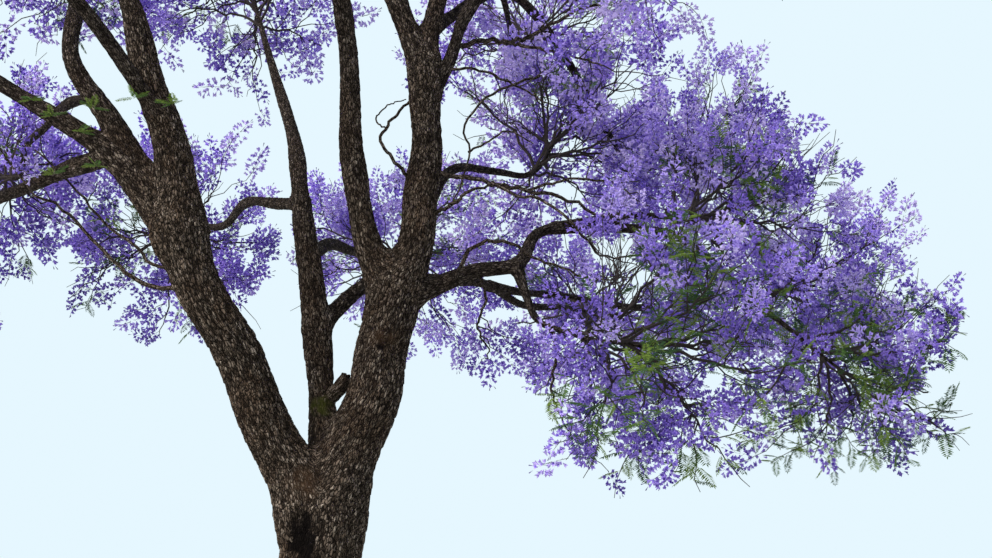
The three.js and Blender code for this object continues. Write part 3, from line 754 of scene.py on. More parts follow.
def has_room(spray, sprays, mass, masses):
    """Whether a spray lies in its mass's space, clear of its neighbours and of every limb."""
    def width_at(u):
        """Half the spindle's width: an even rise to its waist and an even fall from it."""
        return spray.width / 2 * np.minimum(u / SPRAY_WAIST, (1 - u) / (1 - SPRAY_WAIST))

    if not np.all(in_cell(spray_corners(spray), mass, masses, CELL_MARGIN)):
        return False
    tip = spray.root + spray.direction * spray.length
    return is_apart(spray, sprays) and clear_way(spray.root, tip, width_at)


def twig_direction(forward, share, turn):
    """Where a twig of a mass points: the first go on with the stem, the last lie back."""
    level, steep = square(forward)
    cosine = 1 - share * (1 - BACKWARD)
    sine = math.sqrt(1 - cosine * cosine)
    out = forward * cosine + level * sine * math.cos(turn) + steep * sine * math.sin(turn)
    return out * [1, 1, FLATNESS]


def twig_line(start, forward, end, reach):
    """A quadratic Bezier curve from start to end, bowed the way the stem runs."""
    middle = (start + end) / 2 + forward * TWIG_BOW * reach

    def at(u):
        """The mean of start, middle and end, weighted by the squares and product of u and 1 - u."""
        u = np.asarray(u, float)[..., None]
        return (1 - u) ** 2 * start + 2 * u * (1 - u) * middle + u ** 2 * end

    return at


def spray_direction(line, share, turn):
    """Where the spray at a share of a twig points: on with the twig at its tip, else aside."""
    run = heading(line, share)
    if share == 1:
        return run
    side, over = square(run)
    aside = side * math.cos(turn) + over * math.sin(turn)
    return unit(run * math.cos(SPRAY_SPREAD) + aside * math.sin(SPRAY_SPREAD) + UP * SPRAY_LIFT)


def fitting_twig(start, forward, out, full, mass, masses):
    """The longest twig towards out that has room for a spray at its tip, or None."""
    for share in TWIG_SHORTER:
        tip = mass.centre + out * full * share
        free = start + (tip - start) * TWIG_FREE_FROM
        clear = clear_way(free, tip, lambda u: np.full(len(u), TWIG_WIDTH))
        if clear and in_cell(tip, mass, masses, TWIG_TIP_ROOM):
            return twig_line(start, forward, tip, mass.reach)
    return None


def grow_mass(mass, index, masses):
    """One mass by the solids' seeded rule: its twigs, and the sprays that they carry."""
    random = seeded(MASS_SEED + index)
    forward = heading(mass.stem, 0.5)
    offset = next(random) * TURN
    twigs = []
    sprays = []
    for k in range(TWIGS):
        turn = offset + k * GOLDEN_ANGLE + (next(random) - 0.5) * TWIG_TURN
        share = (k + 0.5) / TWIGS
        start = mass.stem(TWIG_ROOTS[0] + (TWIG_ROOTS[1] - TWIG_ROOTS[0]) * share)
        full = TWIG_REACH * mass.reach * uneven(random)
        line = fitting_twig(start, forward, twig_direction(forward, share, turn), full, mass, masses)
        if line is None:
            continue
        twigs.append(line)
        for j, place in enumerate(SPRAY_PLACES):
            direction = spray_direction(line, place, turn + j * math.pi + next(random) - 0.5)
            leaf = (k * len(SPRAY_PLACES) + j) % LEAF_EVERY == FIRST_LEAF
            length = mass.reach * SPRAY_LENGTH * uneven(random)
            for part in SPRAY_SHORTER:
                size = length * part
                spray = SimpleNamespace(root=line(place), direction=direction, leaf=leaf, length=size)
                spray.width = size * (LEAF_WIDTH if leaf else BLOSSOM_WIDTH)
                spray.thickness = size * (LEAF_THICKNESS if leaf else BLOSSOM_THICKNESS)
                if has_room(spray, sprays, mass, masses):
                    sprays.append(spray)
                    break
    return twigs, sprays


def more_twigs(mass, masses, random):
    """Finer twigs of a mass, by the same rule as its first ones and spaced between them."""
    forward = heading(mass.stem, 0.5)
    offset = random.uniform(0, TURN)
    lines = []
    for k in range(MORE_TWIGS):
        share = (k + 0.5) / MORE_TWIGS
        turn = offset + k * GOLDEN_ANGLE + random.uniform(-0.5, 0.5) * TWIG_TURN
        first, last = MORE_TWIG_ROOTS
        start = mass.stem(first + (last - first) * share)
        full = TWIG_REACH * mass.reach * random.uniform(*MORE_TWIG_LENGTHS)
        line = fitting_twig(start, forward, twig_direction(forward, share, turn), full, mass, masses)
        if line is not None:
            lines.append(line)
    return lines


# Surfaces

def joined(parts):
    """Several meshes as one: their places, and their faces with the numbers moved on."""
    places = np.concatenate([part[0] for part in parts])
    counts = np.cumsum([0] + [len(part[0]) for part in parts[:-1]])
    faces = np.concatenate([part[1] + count for part, count in zip(parts, counts)])
    return places, faces


def tube_faces(rings, sides):
    """Triangles of a closed tube: rings of corners, then one place at each end."""
    ring, side = np.meshgrid(np.arange(rings - 1), np.arange(sides), indexing="ij")
    here = (ring * sides + side).ravel()
    next_side = (ring * sides + (side + 1) % sides).ravel()
    walls = np.concatenate([
        np.stack([here, here + sides, next_side + sides], 1),
        np.stack([here, next_side + sides, next_side], 1),
    ])
    round_ring = np.arange(sides)
    following = (round_ring + 1) % sides
    foot, tip = rings * sides, rings * sides + 1
    last = (rings - 1) * sides
    low = np.stack([np.full(sides, foot), round_ring, following], 1)
    high = np.stack([np.full(sides, tip), last + following, last + round_ring], 1)
    return np.concatenate([walls, low, high])


def tubes(paths, radii, sides):
    """Round twigs along many paths at once: at each place of a path a ring square to it."""
    count, rings, _ = paths.shape
    run = unit(np.gradient(paths, axis=1))
    chord = np.abs(unit(paths[:, -1] - paths[:, 0]))
    aside = np.eye(3)[np.argmin(chord, axis=1)][:, None]
    level = unit(np.cross(run, aside))
    steep = np.cross(level, run)
    angle = np.arange(sides) * TURN / sides
    round_ring = (level[:, :, None] * np.cos(angle)[:, None] + steep[:, :, None] * np.sin(angle)[:, None])
    places = paths[:, :, None] + round_ring * radii[:, :, None, None]
    corners = places.reshape(count, rings * sides, 3)
    corners = np.concatenate([corners, paths[:, :1], paths[:, -1:]], axis=1)
    each = corners.shape[1]
    faces = tube_faces(rings, sides)[None] + (np.arange(count) * each)[:, None, None]
    return corners.reshape(-1, 3), faces.reshape(-1, 3)


def tapered(paths, radii, sides):
    """Round twigs along many paths, which all taper evenly from the first radius to the last."""
    return tubes(paths, np.tile(np.linspace(*radii, paths.shape[1]), (len(paths), 1)), sides)


def placed(shape, origins, frames, sizes):
    """Copies of one shape: each is scaled, turned into its frame and moved to its origin."""
    places, faces = shape
    turned = np.einsum("vi,nij->nvj", places, frames) * sizes[:, None, None] + origins[:, None]
    moved = faces[None] + (np.arange(len(origins)) * len(places))[:, None, None]
    return turned.reshape(-1, 3), moved.reshape(-1, 3)


def frames_along(directions, turns):
    """A frame for each direction, whose third axis is the direction, turned about it."""
    level, steep = square(directions)
    first = level * np.cos(turns)[:, None] + steep * np.sin(turns)[:, None]
    return np.stack([first, np.cross(directions, first), directions], axis=1)


def added(name, data):
    """A new object in the scene."""
    thing = bpy.data.objects.new(name, data)
    bpy.context.scene.collection.objects.link(thing)
    return thing


def make_piece(name, shape, material, marks=None):
    """A mesh object made from arrays that rides on the tree: one with marks, which are the values
    that its material reads at each place, is smooth."""
    places, faces = shape
    mesh = bpy.data.meshes.new(name)
    mesh.vertices.add(len(places))
    mesh.vertices.foreach_set("co", places.astype(np.float32).ravel())
    mesh.loops.add(faces.size)
    mesh.loops.foreach_set("vertex_index", faces.astype(np.int32).ravel())
    mesh.polygons.add(len(faces))
    mesh.polygons.foreach_set("loop_start", np.arange(0, faces.size, 3, dtype=np.int32))
    mesh.update(calc_edges=True)
    mesh.polygons.foreach_set("use_smooth", np.full(len(faces), marks is not None))
    for key, values in (marks or {}).items():
        kind = "FLOAT_VECTOR" if values.ndim == 2 else "FLOAT"
        mark = mesh.attributes.new(key, kind, "POINT")
        mark.data.foreach_set("vector" if values.ndim == 2 else "value", values.astype(np.float32).ravel())
    mesh.materials.append(material)
    piece = added(name, mesh)
    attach(piece, "root")
    return piece


# Bark

lattice = np.random.default_rng(LATTICE_SEED).random((LATTICE, LATTICE, LATTICE, 4))


def soft_noise(places, layer):
    """Value noise: a lattice of fixed random values, eased between its corners."""
    cell = np.floor(places).astype(int)
    share = places - cell
    share = share * share * (3 - 2 * share)
    total = np.zeros(len(places))
    for corner in np.ndindex(2, 2, 2):
        at = (cell + corner) % LATTICE
        weight = np.prod(np.where(corner, share, 1 - share), axis=1)
        total += weight * lattice[at[:, 0], at[:, 1], at[:, 2], layer]
    return total * 2 - 1


def plate_cells(places):
    """Plates of bark: for each place how far it is inside the nearest plate, and its tone.

    Plate centres lie one to a lattice cell. The depth inside is the distance to the second
    nearest centre less that to the nearest.
    """
    cell = np.floor(places).astype(int)
    nearest = np.full(len(places), np.inf)
    second = nearest.copy()
    tone = np.zeros(len(places))
    lean = np.zeros(len(places))
    for corner in np.ndindex(3, 3, 3):
        other = cell + corner - 1
        at = other % LATTICE
        found = lattice[at[:, 0], at[:, 1], at[:, 2]]
        off = places - other - found[:, :3]
        gap = np.linalg.norm(off, axis=1)
        closer = gap < nearest
        second = np.where(closer, nearest, np.minimum(second, gap))
        nearest = np.where(closer, gap, nearest)
        tone = np.where(closer, found[:, 3], tone)
        lean = np.where(closer, off[:, 2], lean)
    return second - nearest, tone, lean


def spots(places, features):
    """How near each place is to round or tall spots, from nought to one."""
    total = np.zeros(len(places))
    for place, width, height in features:
        off = (places - place) / [width, width, height]
        total = np.maximum(total, np.exp(-np.sum(off * off, axis=1)))
    return total


def gap_to(points, other):
    """The distance from points to another limb's surface, by the spheres along its line."""
    least = np.full(len(points), np.inf)
    for centre, radius in zip(other.points, other.point_radii):
        least = np.minimum(least, np.linalg.norm(points - centre, axis=1) - radius)
    return least


def webbing(places, out, limb, relatives):
    """How far a limb's surface swells where it joins others.

    Each place moves out until the smooth least of its own distance and the other limb's is
    nought, which draws a web across the crease between two limbs.
    """
    rise = np.zeros(len(places))
    for other in relatives:
        width = WEB * min(limb.radii[0], other.radii[0])
        near = np.flatnonzero(gap_to(places, other) < width)
        if not len(near):
            continue
        height = np.zeros(len(near))
        for _ in range(WEB_TURNS):
            gap = gap_to(places[near] + out[near] * height[:, None], other)
            share = np.maximum(width - np.abs(height - gap), 0) / width
            least = np.minimum(height, gap) - share * share * width / 4
            height = np.clip(height - least, 0, WEB_RISE * width)
        rise[near] = np.maximum(rise[near], height)
    return rise


def carried_normals(run):
    """A normal for each ring of a limb, carried along it without twist."""
    normals = [square(run[0])[0]]
    for direction in run[1:]:
        last = normals[-1]
        normals.append(unit(last - direction * (last @ direction)))
    return np.array(normals)


def bark_relief(grain, radius):
    """How far bark stands out, how far each place is inside its plate, and the plate's tone.

    Cracks part the plates, each plate's lower edge lifts, and slow flutes and lumps run under
    them. Thinner limbs have it all shallower.
    """
    strength = np.clip(radius / FULL_BARK_RADIUS, LEAST_RELIEF, 1)
    wander = np.stack([soft_noise(grain / size, layer) for layer, size in enumerate(WANDER_SIZES)], 1)
    inside, tone, lean = plate_cells(grain / RIDGE_SIZE + wander * WANDER)
    plate = smoothstep(inside, *CRACK)
    height = CRACK_DEPTH * (plate - 1) - PLATE_TILT * np.clip(lean, -TILT_LIMIT, TILT_LIMIT) * plate
    height += FLUTE_DEPTH * soft_noise(grain / FLUTE_SIZE, 1)
    height += LUMP_DEPTH * soft_noise(grain / LUMP_SIZE, 2)
    return height * strength, plate, tone


def bark_marks(places, grain, plate, tone, radius, ends):
    """What the bark material reads at each place: plates, their tones, thin bark, and stains and
    the painted shade of the hollows as spots times a share that soft noise makes uneven."""
    thin = 1 - np.clip(radius / FULL_BARK_RADIUS, 0, 1)
    marks = {"plate": plate, "tone": tone, "thin": thin, "grain": grain}
    for name, (features, even, patchy, size, layer) in STAINS_AND_SHADE.items():
        marks[name] = spots(places, features) * (even + patchy * soft_noise(grain / size, layer))
    return {key: np.concatenate([values, values[ends]]) for key, values in marks.items()}


def limb_surface(limb, relatives):
    """A limb's surface: rings carried along its line, webbed to its relatives, with its bark."""
    length = np.sum(np.linalg.norm(np.diff(limb.whole(np.linspace(0, 1, LENGTH_STEPS)), axis=0), axis=1))
    girth = TURN * (limb.radii[0] + limb.radii[1]) / 2
    coarse = float(np.clip(FINE_RADIUS / limb.radii[0], 1, COARSEST))
    sides = int(np.clip(girth / FACET / coarse, FEWEST_SIDES, MOST_SIDES))
    rows = int(length / FACET_LENGTH / coarse) + 2
    share = np.linspace(0, 1, rows)
    run = heading(limb.whole, share)
    normal = carried_normals(run)
    side = np.cross(normal, run)
    angle = np.arange(sides) * TURN / sides
    out = normal[:, None] * np.cos(angle)[:, None] + side[:, None] * np.sin(angle)[:, None]
    radius = full_radius(limb, share[:, None], angle[None]) * np.ones((rows, sides))
    places = (limb.whole(share)[:, None] + radius[..., None] * out).reshape(-1, 3)
    out = out.reshape(-1, 3)
    radius = radius.ravel()
    places = places + out * webbing(places, out, limb, relatives)[:, None]
    along = np.repeat(share * length, sides)
    turned = np.tile(angle, rows) + RIDGE_SLANT * along
    grain = np.stack([radius * np.cos(turned), radius * np.sin(turned), along + limb.shift], axis=1)
    height, plate, tone = bark_relief(grain, radius)
    for place, width, tall, lift in KNOTS:
        height = height + lift * spots(places, [(place, width, tall)])
    places = places + out * height[:, None]
    ends = limb.whole(np.array([0.0, 1.0]))
    if limb.name == "trunk":
        places[:, 2] = np.maximum(places[:, 2], 0)
        places[:sides, 2] = 0
    shape = np.vstack([places, ends]), tube_faces(rows, sides)
    return shape, bark_marks(places, grain, plate, tone, radius, [0, -1])


def stub_surface():
    """A short broken branch: a cone frustum with a bent line and a ragged, sunken end."""
    foot, end, radii = (np.array(values) for values in STUB)
    share = np.concatenate([np.linspace(0, 1, STUB_RINGS), [1.0]])
    run = unit(end - foot)
    level, steep = square(run)
    angle = np.arange(STUB_SIDES) * TURN / STUB_SIDES
    out = level * np.cos(angle)[:, None] + steep * np.sin(angle)[:, None]
    radius = radii[0] + (radii[1] - radii[0]) * share
    radius[-1] *= STUB_END
    sag = -STUB_SAG * np.sin(np.pi * share)[:, None, None] * UP
    places = foot + share[:, None, None] * (end - foot) + out * radius[:, None, None] + sag
    places = places.reshape(-1, 3)
    count = len(places)
    grain = np.stack([np.tile(radii[0] * np.cos(angle), len(share)),
                      np.tile(radii[0] * np.sin(angle), len(share)),
                      np.repeat(share * np.linalg.norm(end - foot), STUB_SIDES)], axis=1)
    ragged = soft_noise(places / STUB_RAGGED, 0)
    rim = np.repeat(share > STUB_RIM, STUB_SIDES)
    places = places + run * np.where(rim, STUB_RAGGED * ragged, 0)[:, None]
    rough = STUB_ROUGH * soft_noise(grain / STUB_ROUGH_SIZE, 1)
    places = places + np.tile(out, (len(share), 1)) * rough[:, None]
    sunken = end - run * STUB_SUNKEN
    shape = np.vstack([places, foot, sunken]), tube_faces(len(share), STUB_SIDES)
    whole = np.ones(count)
    radius = STUB_BARK * FULL_BARK_RADIUS * whole
    return shape, bark_marks(places, grain, whole, whole / 2, radius, [0, -1])


# Twigs

def crooked_shoots(start, direction, length, random):
    """Shoots that leave along their directions, kink from side to side by random steps, and lift to
    the light by the square of the way."""
    share = np.linspace(0, 1, SHOOT_STEPS)
    level, steep = square(direction)
    kinks = random.uniform(-1, 1, (2, len(start), SHOOT_STEPS)) * SHOOT_KINK
    kinks[..., 0] = 0
    path = direction[:, None] * share[:, None] + UP * (SHOOT_CURL * share[:, None] ** 2)
    path = path + level[:, None] * kinks[0][..., None] + steep[:, None] * kinks[1][..., None]
    return start[:, None] + path * length[:, None, None]


def point_at(paths, share):
    """Where each of many paths is at its share, and the way that it runs there."""
    steps = paths.shape[1] - 1
    k = np.minimum((share * steps).astype(int), steps - 1)
    rest = (share * steps - k)[:, None]
    rows = np.arange(len(paths))
    low, high = paths[rows, k], paths[rows, k + 1]
    return low + (high - low) * rest, unit(high - low)


def turned_aside(run, spread, turns):
    """Directions that leave run by the angle spread, each turned about it."""
    side, over = square(run)
    aside = side * np.cos(turns)[:, None] + over * np.sin(turns)[:, None]
    spread = np.reshape(spread, (-1, 1))
    return run * np.cos(spread) + aside * np.sin(spread)


def grow_shoots(twig_paths, mass, masses, random):
    """Shoots along a mass's twigs: at each place one leaves to a side, the last one ahead.

    One that would leave the mass's space is shortened, and then skipped.
    """
    count = len(twig_paths)
    places = np.tile(SHOOT_PLACES, count) + random.uniform(-SHOOT_STRAY, 0, count * len(SHOOT_PLACES))
    owners = np.repeat(np.arange(count), len(SHOOT_PLACES))
    start, run = point_at(twig_paths[owners], places)
    number = np.arange(len(owners))
    spread = random.uniform(*SHOOT_SPREAD, len(owners))
    spread = np.where((number + 1) % len(SHOOT_PLACES) == 0, SHOOT_AHEAD, spread)
    turns = number * GOLDEN_ANGLE + random.uniform(-SHOOT_TURN, SHOOT_TURN, len(owners))
    direction = unit(turned_aside(run, spread, turns) + UP * SHOOT_LIFT)
    full = SHOOT_LENGTH * mass.reach * random.uniform(1 - SHOOT_UNEVEN, 1 + SHOOT_UNEVEN, len(owners))
    length = np.zeros(len(owners))
    for part in SHOOT_SHORTER:
        tip = start + direction * (full * part)[:, None]
        fits = (length == 0) & inside_mass(tip, mass, masses, TIP_ROOM)
        length = np.where(fits, full * part, length)
    kept = length > 0
    return start[kept], direction[kept], length[kept]


def inside_mass(points, mass, masses, room):
    """Which points lie in a mass's space, clear of limbs and within the solid's own box."""
    low, high = mass.box
    inside = in_cell(points, mass, masses, room) & clear_of_limbs(points, room)
    return inside & np.all((points > low - BOX_ROOM) & (points < high + BOX_ROOM), axis=1)


def seen_at(across, down, back):
    """The place that the photograph shows at its pixel, on the plane that lies so far back."""
    aside = (across - PHOTO_SIZE[0] / 2) / FOCUS
    lift = (PHOTO_SIZE[1] / 2 - down) / FOCUS
    ahead = math.cos(PITCH) - math.sin(PITCH) * lift
    rise = math.sin(PITCH) + math.cos(PITCH) * lift
    reach = (back - CAMERA_PLACE[1]) / ahead
    return np.array([CAMERA_PLACE[0] + reach * aside, back, CAMERA_PLACE[2] + reach * rise])


def in_opening(points):
    """Which points the photograph's camera sees in an opening, by dividing each point's way across
    and up the picture by its way ahead."""
    off = points - CAMERA_PLACE
    ahead = off @ [0, math.cos(PITCH), math.sin(PITCH)]
    across = PHOTO_SIZE[0] / 2 + FOCUS * off[:, 0] / ahead
    down = PHOTO_SIZE[1] / 2 - FOCUS * (off @ [0, -math.sin(PITCH), math.cos(PITCH)]) / ahead
    seen = np.stack([across, down], 1)[:, None] - OPENINGS[:, :2]
    return np.any(np.linalg.norm(seen, axis=2) < OPENINGS[:, 2], axis=1)


def grow_strays(random):
    """The thin branches that the photograph shows, each an even curve through its places that
    random steps make crooked, with the shoots and panicles along them."""
    share = np.linspace(0, 1, STRAY_STEPS)
    paths = np.array([paced_curve(np.array([seen_at(*place) for place in stray["way"]]))(share)
                      for stray in STRAYS])
    radii = np.array([np.linspace(*stray["radii"], STRAY_STEPS) for stray in STRAYS])
    kinks = random.uniform(-1, 1, paths.shape) * STRAY_KINK * radii[:, :1, None]
    kinks[:, 0] = 0
    paths = paths + kinks
    bearing = paths[[stray["blooms"] for stray in STRAYS]]
    places = np.tile(STRAY_SHOOTS, len(bearing))
    start, run = point_at(np.repeat(bearing, len(STRAY_SHOOTS), axis=0), places)
    count = len(start)
    spread = np.where(places == 1, STRAY_AHEAD, STRAY_SPREAD)
    direction = turned_aside(run, spread, random.uniform(0, TURN, count))
    direction = unit(direction + UP * SHOOT_LIFT)
    length = random.uniform(*STRAY_LENGTHS, count)
    clear = clear_of_limbs(start + direction * length[:, None], TIP_ROOM)
    shoots = crooked_shoots(start[clear], direction[clear], length[clear], random)
    bare = np.zeros(len(shoots), bool)

    def fits(points):
        """Which points lie outside every limb."""
        return clear_of_limbs(points, 0)

    panicles = grow_panicles(shoots, bare, 1, STRAY_LIGHT, STRAY_FINER, fits, random)
    return paths, radii, shoots, panicles


def stray_marks(paths, radii):
    """What the bark material reads along the thin branches: their grain, round and along each."""
    count, rings = radii.shape
    strides = np.linalg.norm(np.diff(paths, axis=1), axis=2)
    along = np.hstack([np.zeros((count, 1)), np.cumsum(strides, axis=1)]) + np.arange(count)[:, None]
    angle = np.arange(STRAY_SIDES) * TURN / STRAY_SIDES
    wide = radii[:, :, None]
    grain = np.stack([wide * np.cos(angle), wide * np.sin(angle), along[:, :, None] + 0 * angle], 3)
    grain = grain.reshape(count, rings * STRAY_SIDES, 3)
    grain = np.concatenate([grain, grain[:, :1], grain[:, -1:]], axis=1).reshape(-1, 3)
    even = np.ones(len(grain))
    return {"grain": grain, "plate": even, "thin": even * STRAY_THIN}


def grow_tufts(random):
    """Tufts of young leaves that stand on the limbs where the photograph shows them."""
    root = np.repeat([seen_at(*tuft) for tuft in TUFTS], TUFT_LEAVES, axis=0)
    count = len(root)
    out = random.normal(0, TUFT_SPREAD, (count, 3)) + TUFT_AIM
    return SimpleNamespace(root=root, aim=unit(out), size=random.uniform(*TUFT_LEAF, count),
                           kind=random.integers(0, LEAF_KINDS, count), tint=np.arange(count) % 2)


def dress_mass(mass, index, masses):
    """Everything that one mass carries: paths of twigs and shoots, panicles and leaves."""
    random = np.random.default_rng(MASS_SEED + index)
    lines, sprays = grow_mass(mass, index, masses)
    lines = lines + more_twigs(mass, masses, random)
    share = np.linspace(0, 1, TWIG_STEPS)
    twigs = np.array([line(share) for line in lines])
    kinks = random.uniform(-1, 1, twigs.shape) * TWIG_KINK
    kinks[:, 0] = 0
    twigs = twigs + kinks
    start, direction, length = grow_shoots(twigs, mass, masses, random)
    root = np.array([spray.root for spray in sprays])
    aim = np.array([spray.direction for spray in sprays])
    reach = np.array([spray.length for spray in sprays]) * SPRAY_SHOOT
    start = np.vstack([start, root])
    direction = np.vstack([direction, aim])
    length = np.concatenate([length, reach])
    shoots = crooked_shoots(start, direction, length, random)
    leafy = random.random(len(start)) < mass.leafiness
    leafy[len(leafy) - len(sprays):] |= np.array([spray.leaf for spray in sprays])
    bloom = BLOOM.get(mass.name, USUAL_BLOOM)
    # Painted light and shade: high masses get paler tints, low and left ones deeper tints
    light = np.interp(mass.centre[2], *zip(*TOP_LIGHT)) * np.interp(mass.centre[0], *zip(*SIDE_LIGHT))

    def fits(points):
        """Which points lie in the mass's space and outside every limb."""
        return inside_mass(points, mass, masses, 0)

    def leaf_fits(points):
        """The same, and further inside the mass's reach and out of every opening."""
        off = np.linalg.norm((points - mass.centre) / [1, 1, FLATNESS], axis=1)
        return fits(points) & (off < mass.reach - LEAF_DEPTH) & ~in_opening(points)

    finer = FINER.get(mass.name, 1)
    panicles = grow_panicles(shoots, leafy, bloom, light, finer, fits, random)
    leaves = grow_leaves(shoots, leafy, leaf_fits, random)
    return SimpleNamespace(twigs=twigs, shoots=shoots, panicles=panicles, leaves=leaves)


def grow_panicles(shoots, leafy, bloom, light, finer, fits, random):
    """Panicles at the tips and sides of the shoots: root, direction, length, kind and tint.

    A shoot bears one at a place by its chance, times the mass's bloom and the clump it is in.
    Tints follow the panicles' order from the highest, unevenly, raised to the power light: painted light and
    shade, which gives higher panicles paler tints and lower ones deeper tints.
    """
    found = []
    clump = np.interp(soft_noise(shoots[:, -1] / CLUMP_SIZE, 3), *zip(*CLUMP))
    for place, chance in zip(PANICLE_PLACES, PANICLE_CHANCE):
        picked = np.flatnonzero(~leafy & (random.random(len(shoots)) < chance * bloom * clump))
        root, run = point_at(shoots[picked], np.full(len(picked), place - PANICLE_FOOT))
        spread = PANICLE_SPREAD if place < 1 else PANICLE_AHEAD
        aim = turned_aside(run, spread, random.uniform(0, TURN, len(picked)))
        stray = random.normal(0, PANICLE_STRAY, (len(picked), 3))
        aim = unit(aim + UP * PANICLE_LIFT + stray)
        size = random.uniform(*PANICLE_LENGTH, len(picked)) * finer
        kept = fits(root + aim * (size * PANICLE_BODY)[:, None])
        kept &= ~in_opening(root + aim * (size / 2)[:, None])
        found.append((root[kept], aim[kept], size[kept]))
    root, aim, size = (np.concatenate(part) for part in zip(*found))
    # random tone, plus painted shade that gives lower panicles deeper tints
    shade = random.normal(0, TINT_UNEVEN, len(root)) - root[:, 2] * TINT_BY_HEIGHT
    rank = (np.argsort(np.argsort(shade)) + 0.5) / len(root)
    tint = (rank ** light * len(BLOSSOM_TINTS)).astype(int)
    kind = random.integers(0, PANICLE_KINDS, len(root))
    turns = random.uniform(0, TURN, len(root))
    return SimpleNamespace(root=root, aim=aim, size=size, tint=tint, kind=kind, turns=turns)


def grow_leaves(shoots, leafy, fits, random):
    """Leaves along the leafy shoots: root, direction, length, kind and tint."""
    picked = np.repeat(np.flatnonzero(leafy), LEAVES_ON_SHOOT)
    share = np.tile(np.linspace(*LEAF_PLACES, LEAVES_ON_SHOOT), leafy.sum())
    root, run = point_at(shoots[picked], share)
    turns = np.arange(len(picked)) * GOLDEN_ANGLE + random.uniform(-LEAF_TURN, LEAF_TURN, len(picked))
    aim = unit(turned_aside(run, LEAF_SPREAD, turns) + UP * LEAF_LIFT)
    size = random.uniform(*LEAF_LENGTH, len(picked))
    kept = fits(root + aim * (size * LEAF_BODY)[:, None])
    kind = random.integers(0, LEAF_KINDS, len(picked))
    tint = random.integers(0, len(LEAF_TINTS), len(picked))
    return SimpleNamespace(root=root[kept], aim=aim[kept], size=size[kept], kind=kind[kept],
                           tint=tint[kept])


# Flowers and leaves

def flower_shape(random):
    """A trumpet: a cone from its stalk to its throat, bent a little, then blunt open lobes."""
    angle = np.arange(LOBES) * TURN / LOBES
    between = angle + TURN / LOBES / 2
    bend = random.uniform(*FLOWER_BEND)
    across = THROAT * np.cos(angle) + bend
    throat = np.stack([across, THROAT * np.sin(angle), np.full(LOBES, THROAT_AT)], 1)
    reach = MOUTH * random.uniform(*LOBE_REACH, LOBES)
    lift = random.uniform(*LOBE_AT, LOBES)
    lobes = np.stack([reach * np.cos(between) + bend * LOBE_BEND, reach * np.sin(between), lift], 1)
    places = np.vstack([[[0, 0, 0]], throat, lobes])
    k = np.arange(LOBES)
    following = (k + 1) % LOBES
    cone = np.stack([np.zeros(LOBES, int), following + 1, k + 1], 1)
    open_lobes = np.stack([k + 1, following + 1, k + 1 + LOBES], 1)
    return places, np.concatenate([cone, open_lobes])


def spike(foot, tip, radius):
    """A slim closed spike: three corners round its foot, square to its run, and one at its tip."""
    run = unit(tip - foot)
    level, steep = square(run)
    angle = (np.arange(3) * TURN / 3)[:, None]
    places = np.vstack([foot + radius * (level * np.cos(angle) + steep * np.sin(angle)), [tip]])
    return places, np.array([(0, 2, 1), (0, 1, 3), (1, 2, 3), (2, 0, 3)])


def panicle_shape(random):
    """A panicle one unit long along +Z: its stalks, its flowers and its buds.

    Flowers leave the axis by the golden angle. They stand furthest out below the middle and
    close in towards the tip, so that the panicle is a blunt cone with a rounded foot.
    """
    share = np.linspace(*FLOWER_PLACES, FLOWERS) + random.uniform(-FLOWER_STRAY, FLOWER_STRAY, FLOWERS)
    turn = np.arange(FLOWERS) * GOLDEN_ANGLE + random.uniform(-FLOWER_TURN, FLOWER_TURN, FLOWERS)
    past = (share - PANICLE_WIDEST) / PANICLE_HALF
    wide = PANICLE_WIDTH * np.sqrt(np.clip(1 - past ** 2, PANICLE_LEAST, 1))
    wide = wide * random.uniform(*FLOWER_REACH, FLOWERS)
    none = np.zeros(FLOWERS)
    out = np.stack([np.cos(turn), np.sin(turn), none], 1)
    axis = np.stack([AXIS_WAVE * np.sin(share * AXIS_WAVES), none, share * AXIS_LENGTH], 1)
    root = axis + out * wide[:, None] + [0, 0, AXIS_FOOT]
    rise = (share - FLOWER_LEVEL) * FLOWER_RISE
    aim = unit(out + rise[:, None] * UP + random.normal(0, FLOWER_UNEVEN, (FLOWERS, 3)))
    size = FLOWER_LENGTH * random.uniform(*FLOWER_SIZES, FLOWERS)
    frames = frames_along(aim, random.uniform(0, TURN, FLOWERS))
    each = [slice(k, k + 1) for k in range(FLOWERS)]
    flowers = joined([placed(flower_shape(random), root[k], frames[k], size[k]) for k in each])
    turn = random.uniform(0, TURN, BUDS)
    out = np.stack([np.cos(turn), np.sin(turn), np.full(BUDS, BUD_RISE)], 1)
    foot = random.uniform(*BUD_PLACES, BUDS)[:, None] * UP + BUD_OFF * out
    buds = joined([spike(low + way * BUD_LENGTH, low, BUD_RADIUS) for low, way in zip(foot, out)])
    stalks = [spike(low, high, AXIS_RADIUS) for low, high in zip(AXIS_BENDS[:-1], AXIS_BENDS[1:])]
    feet, tips = axis[FIRST_STALK::STALK_EVERY] * STALK_FOOT, root[FIRST_STALK::STALK_EVERY]
    stalks += [spike(low, high, STALK_RADIUS) for low, high in zip(feet, tips)]
    return SimpleNamespace(flowers=flowers, buds=buds, stalks=joined(stalks))


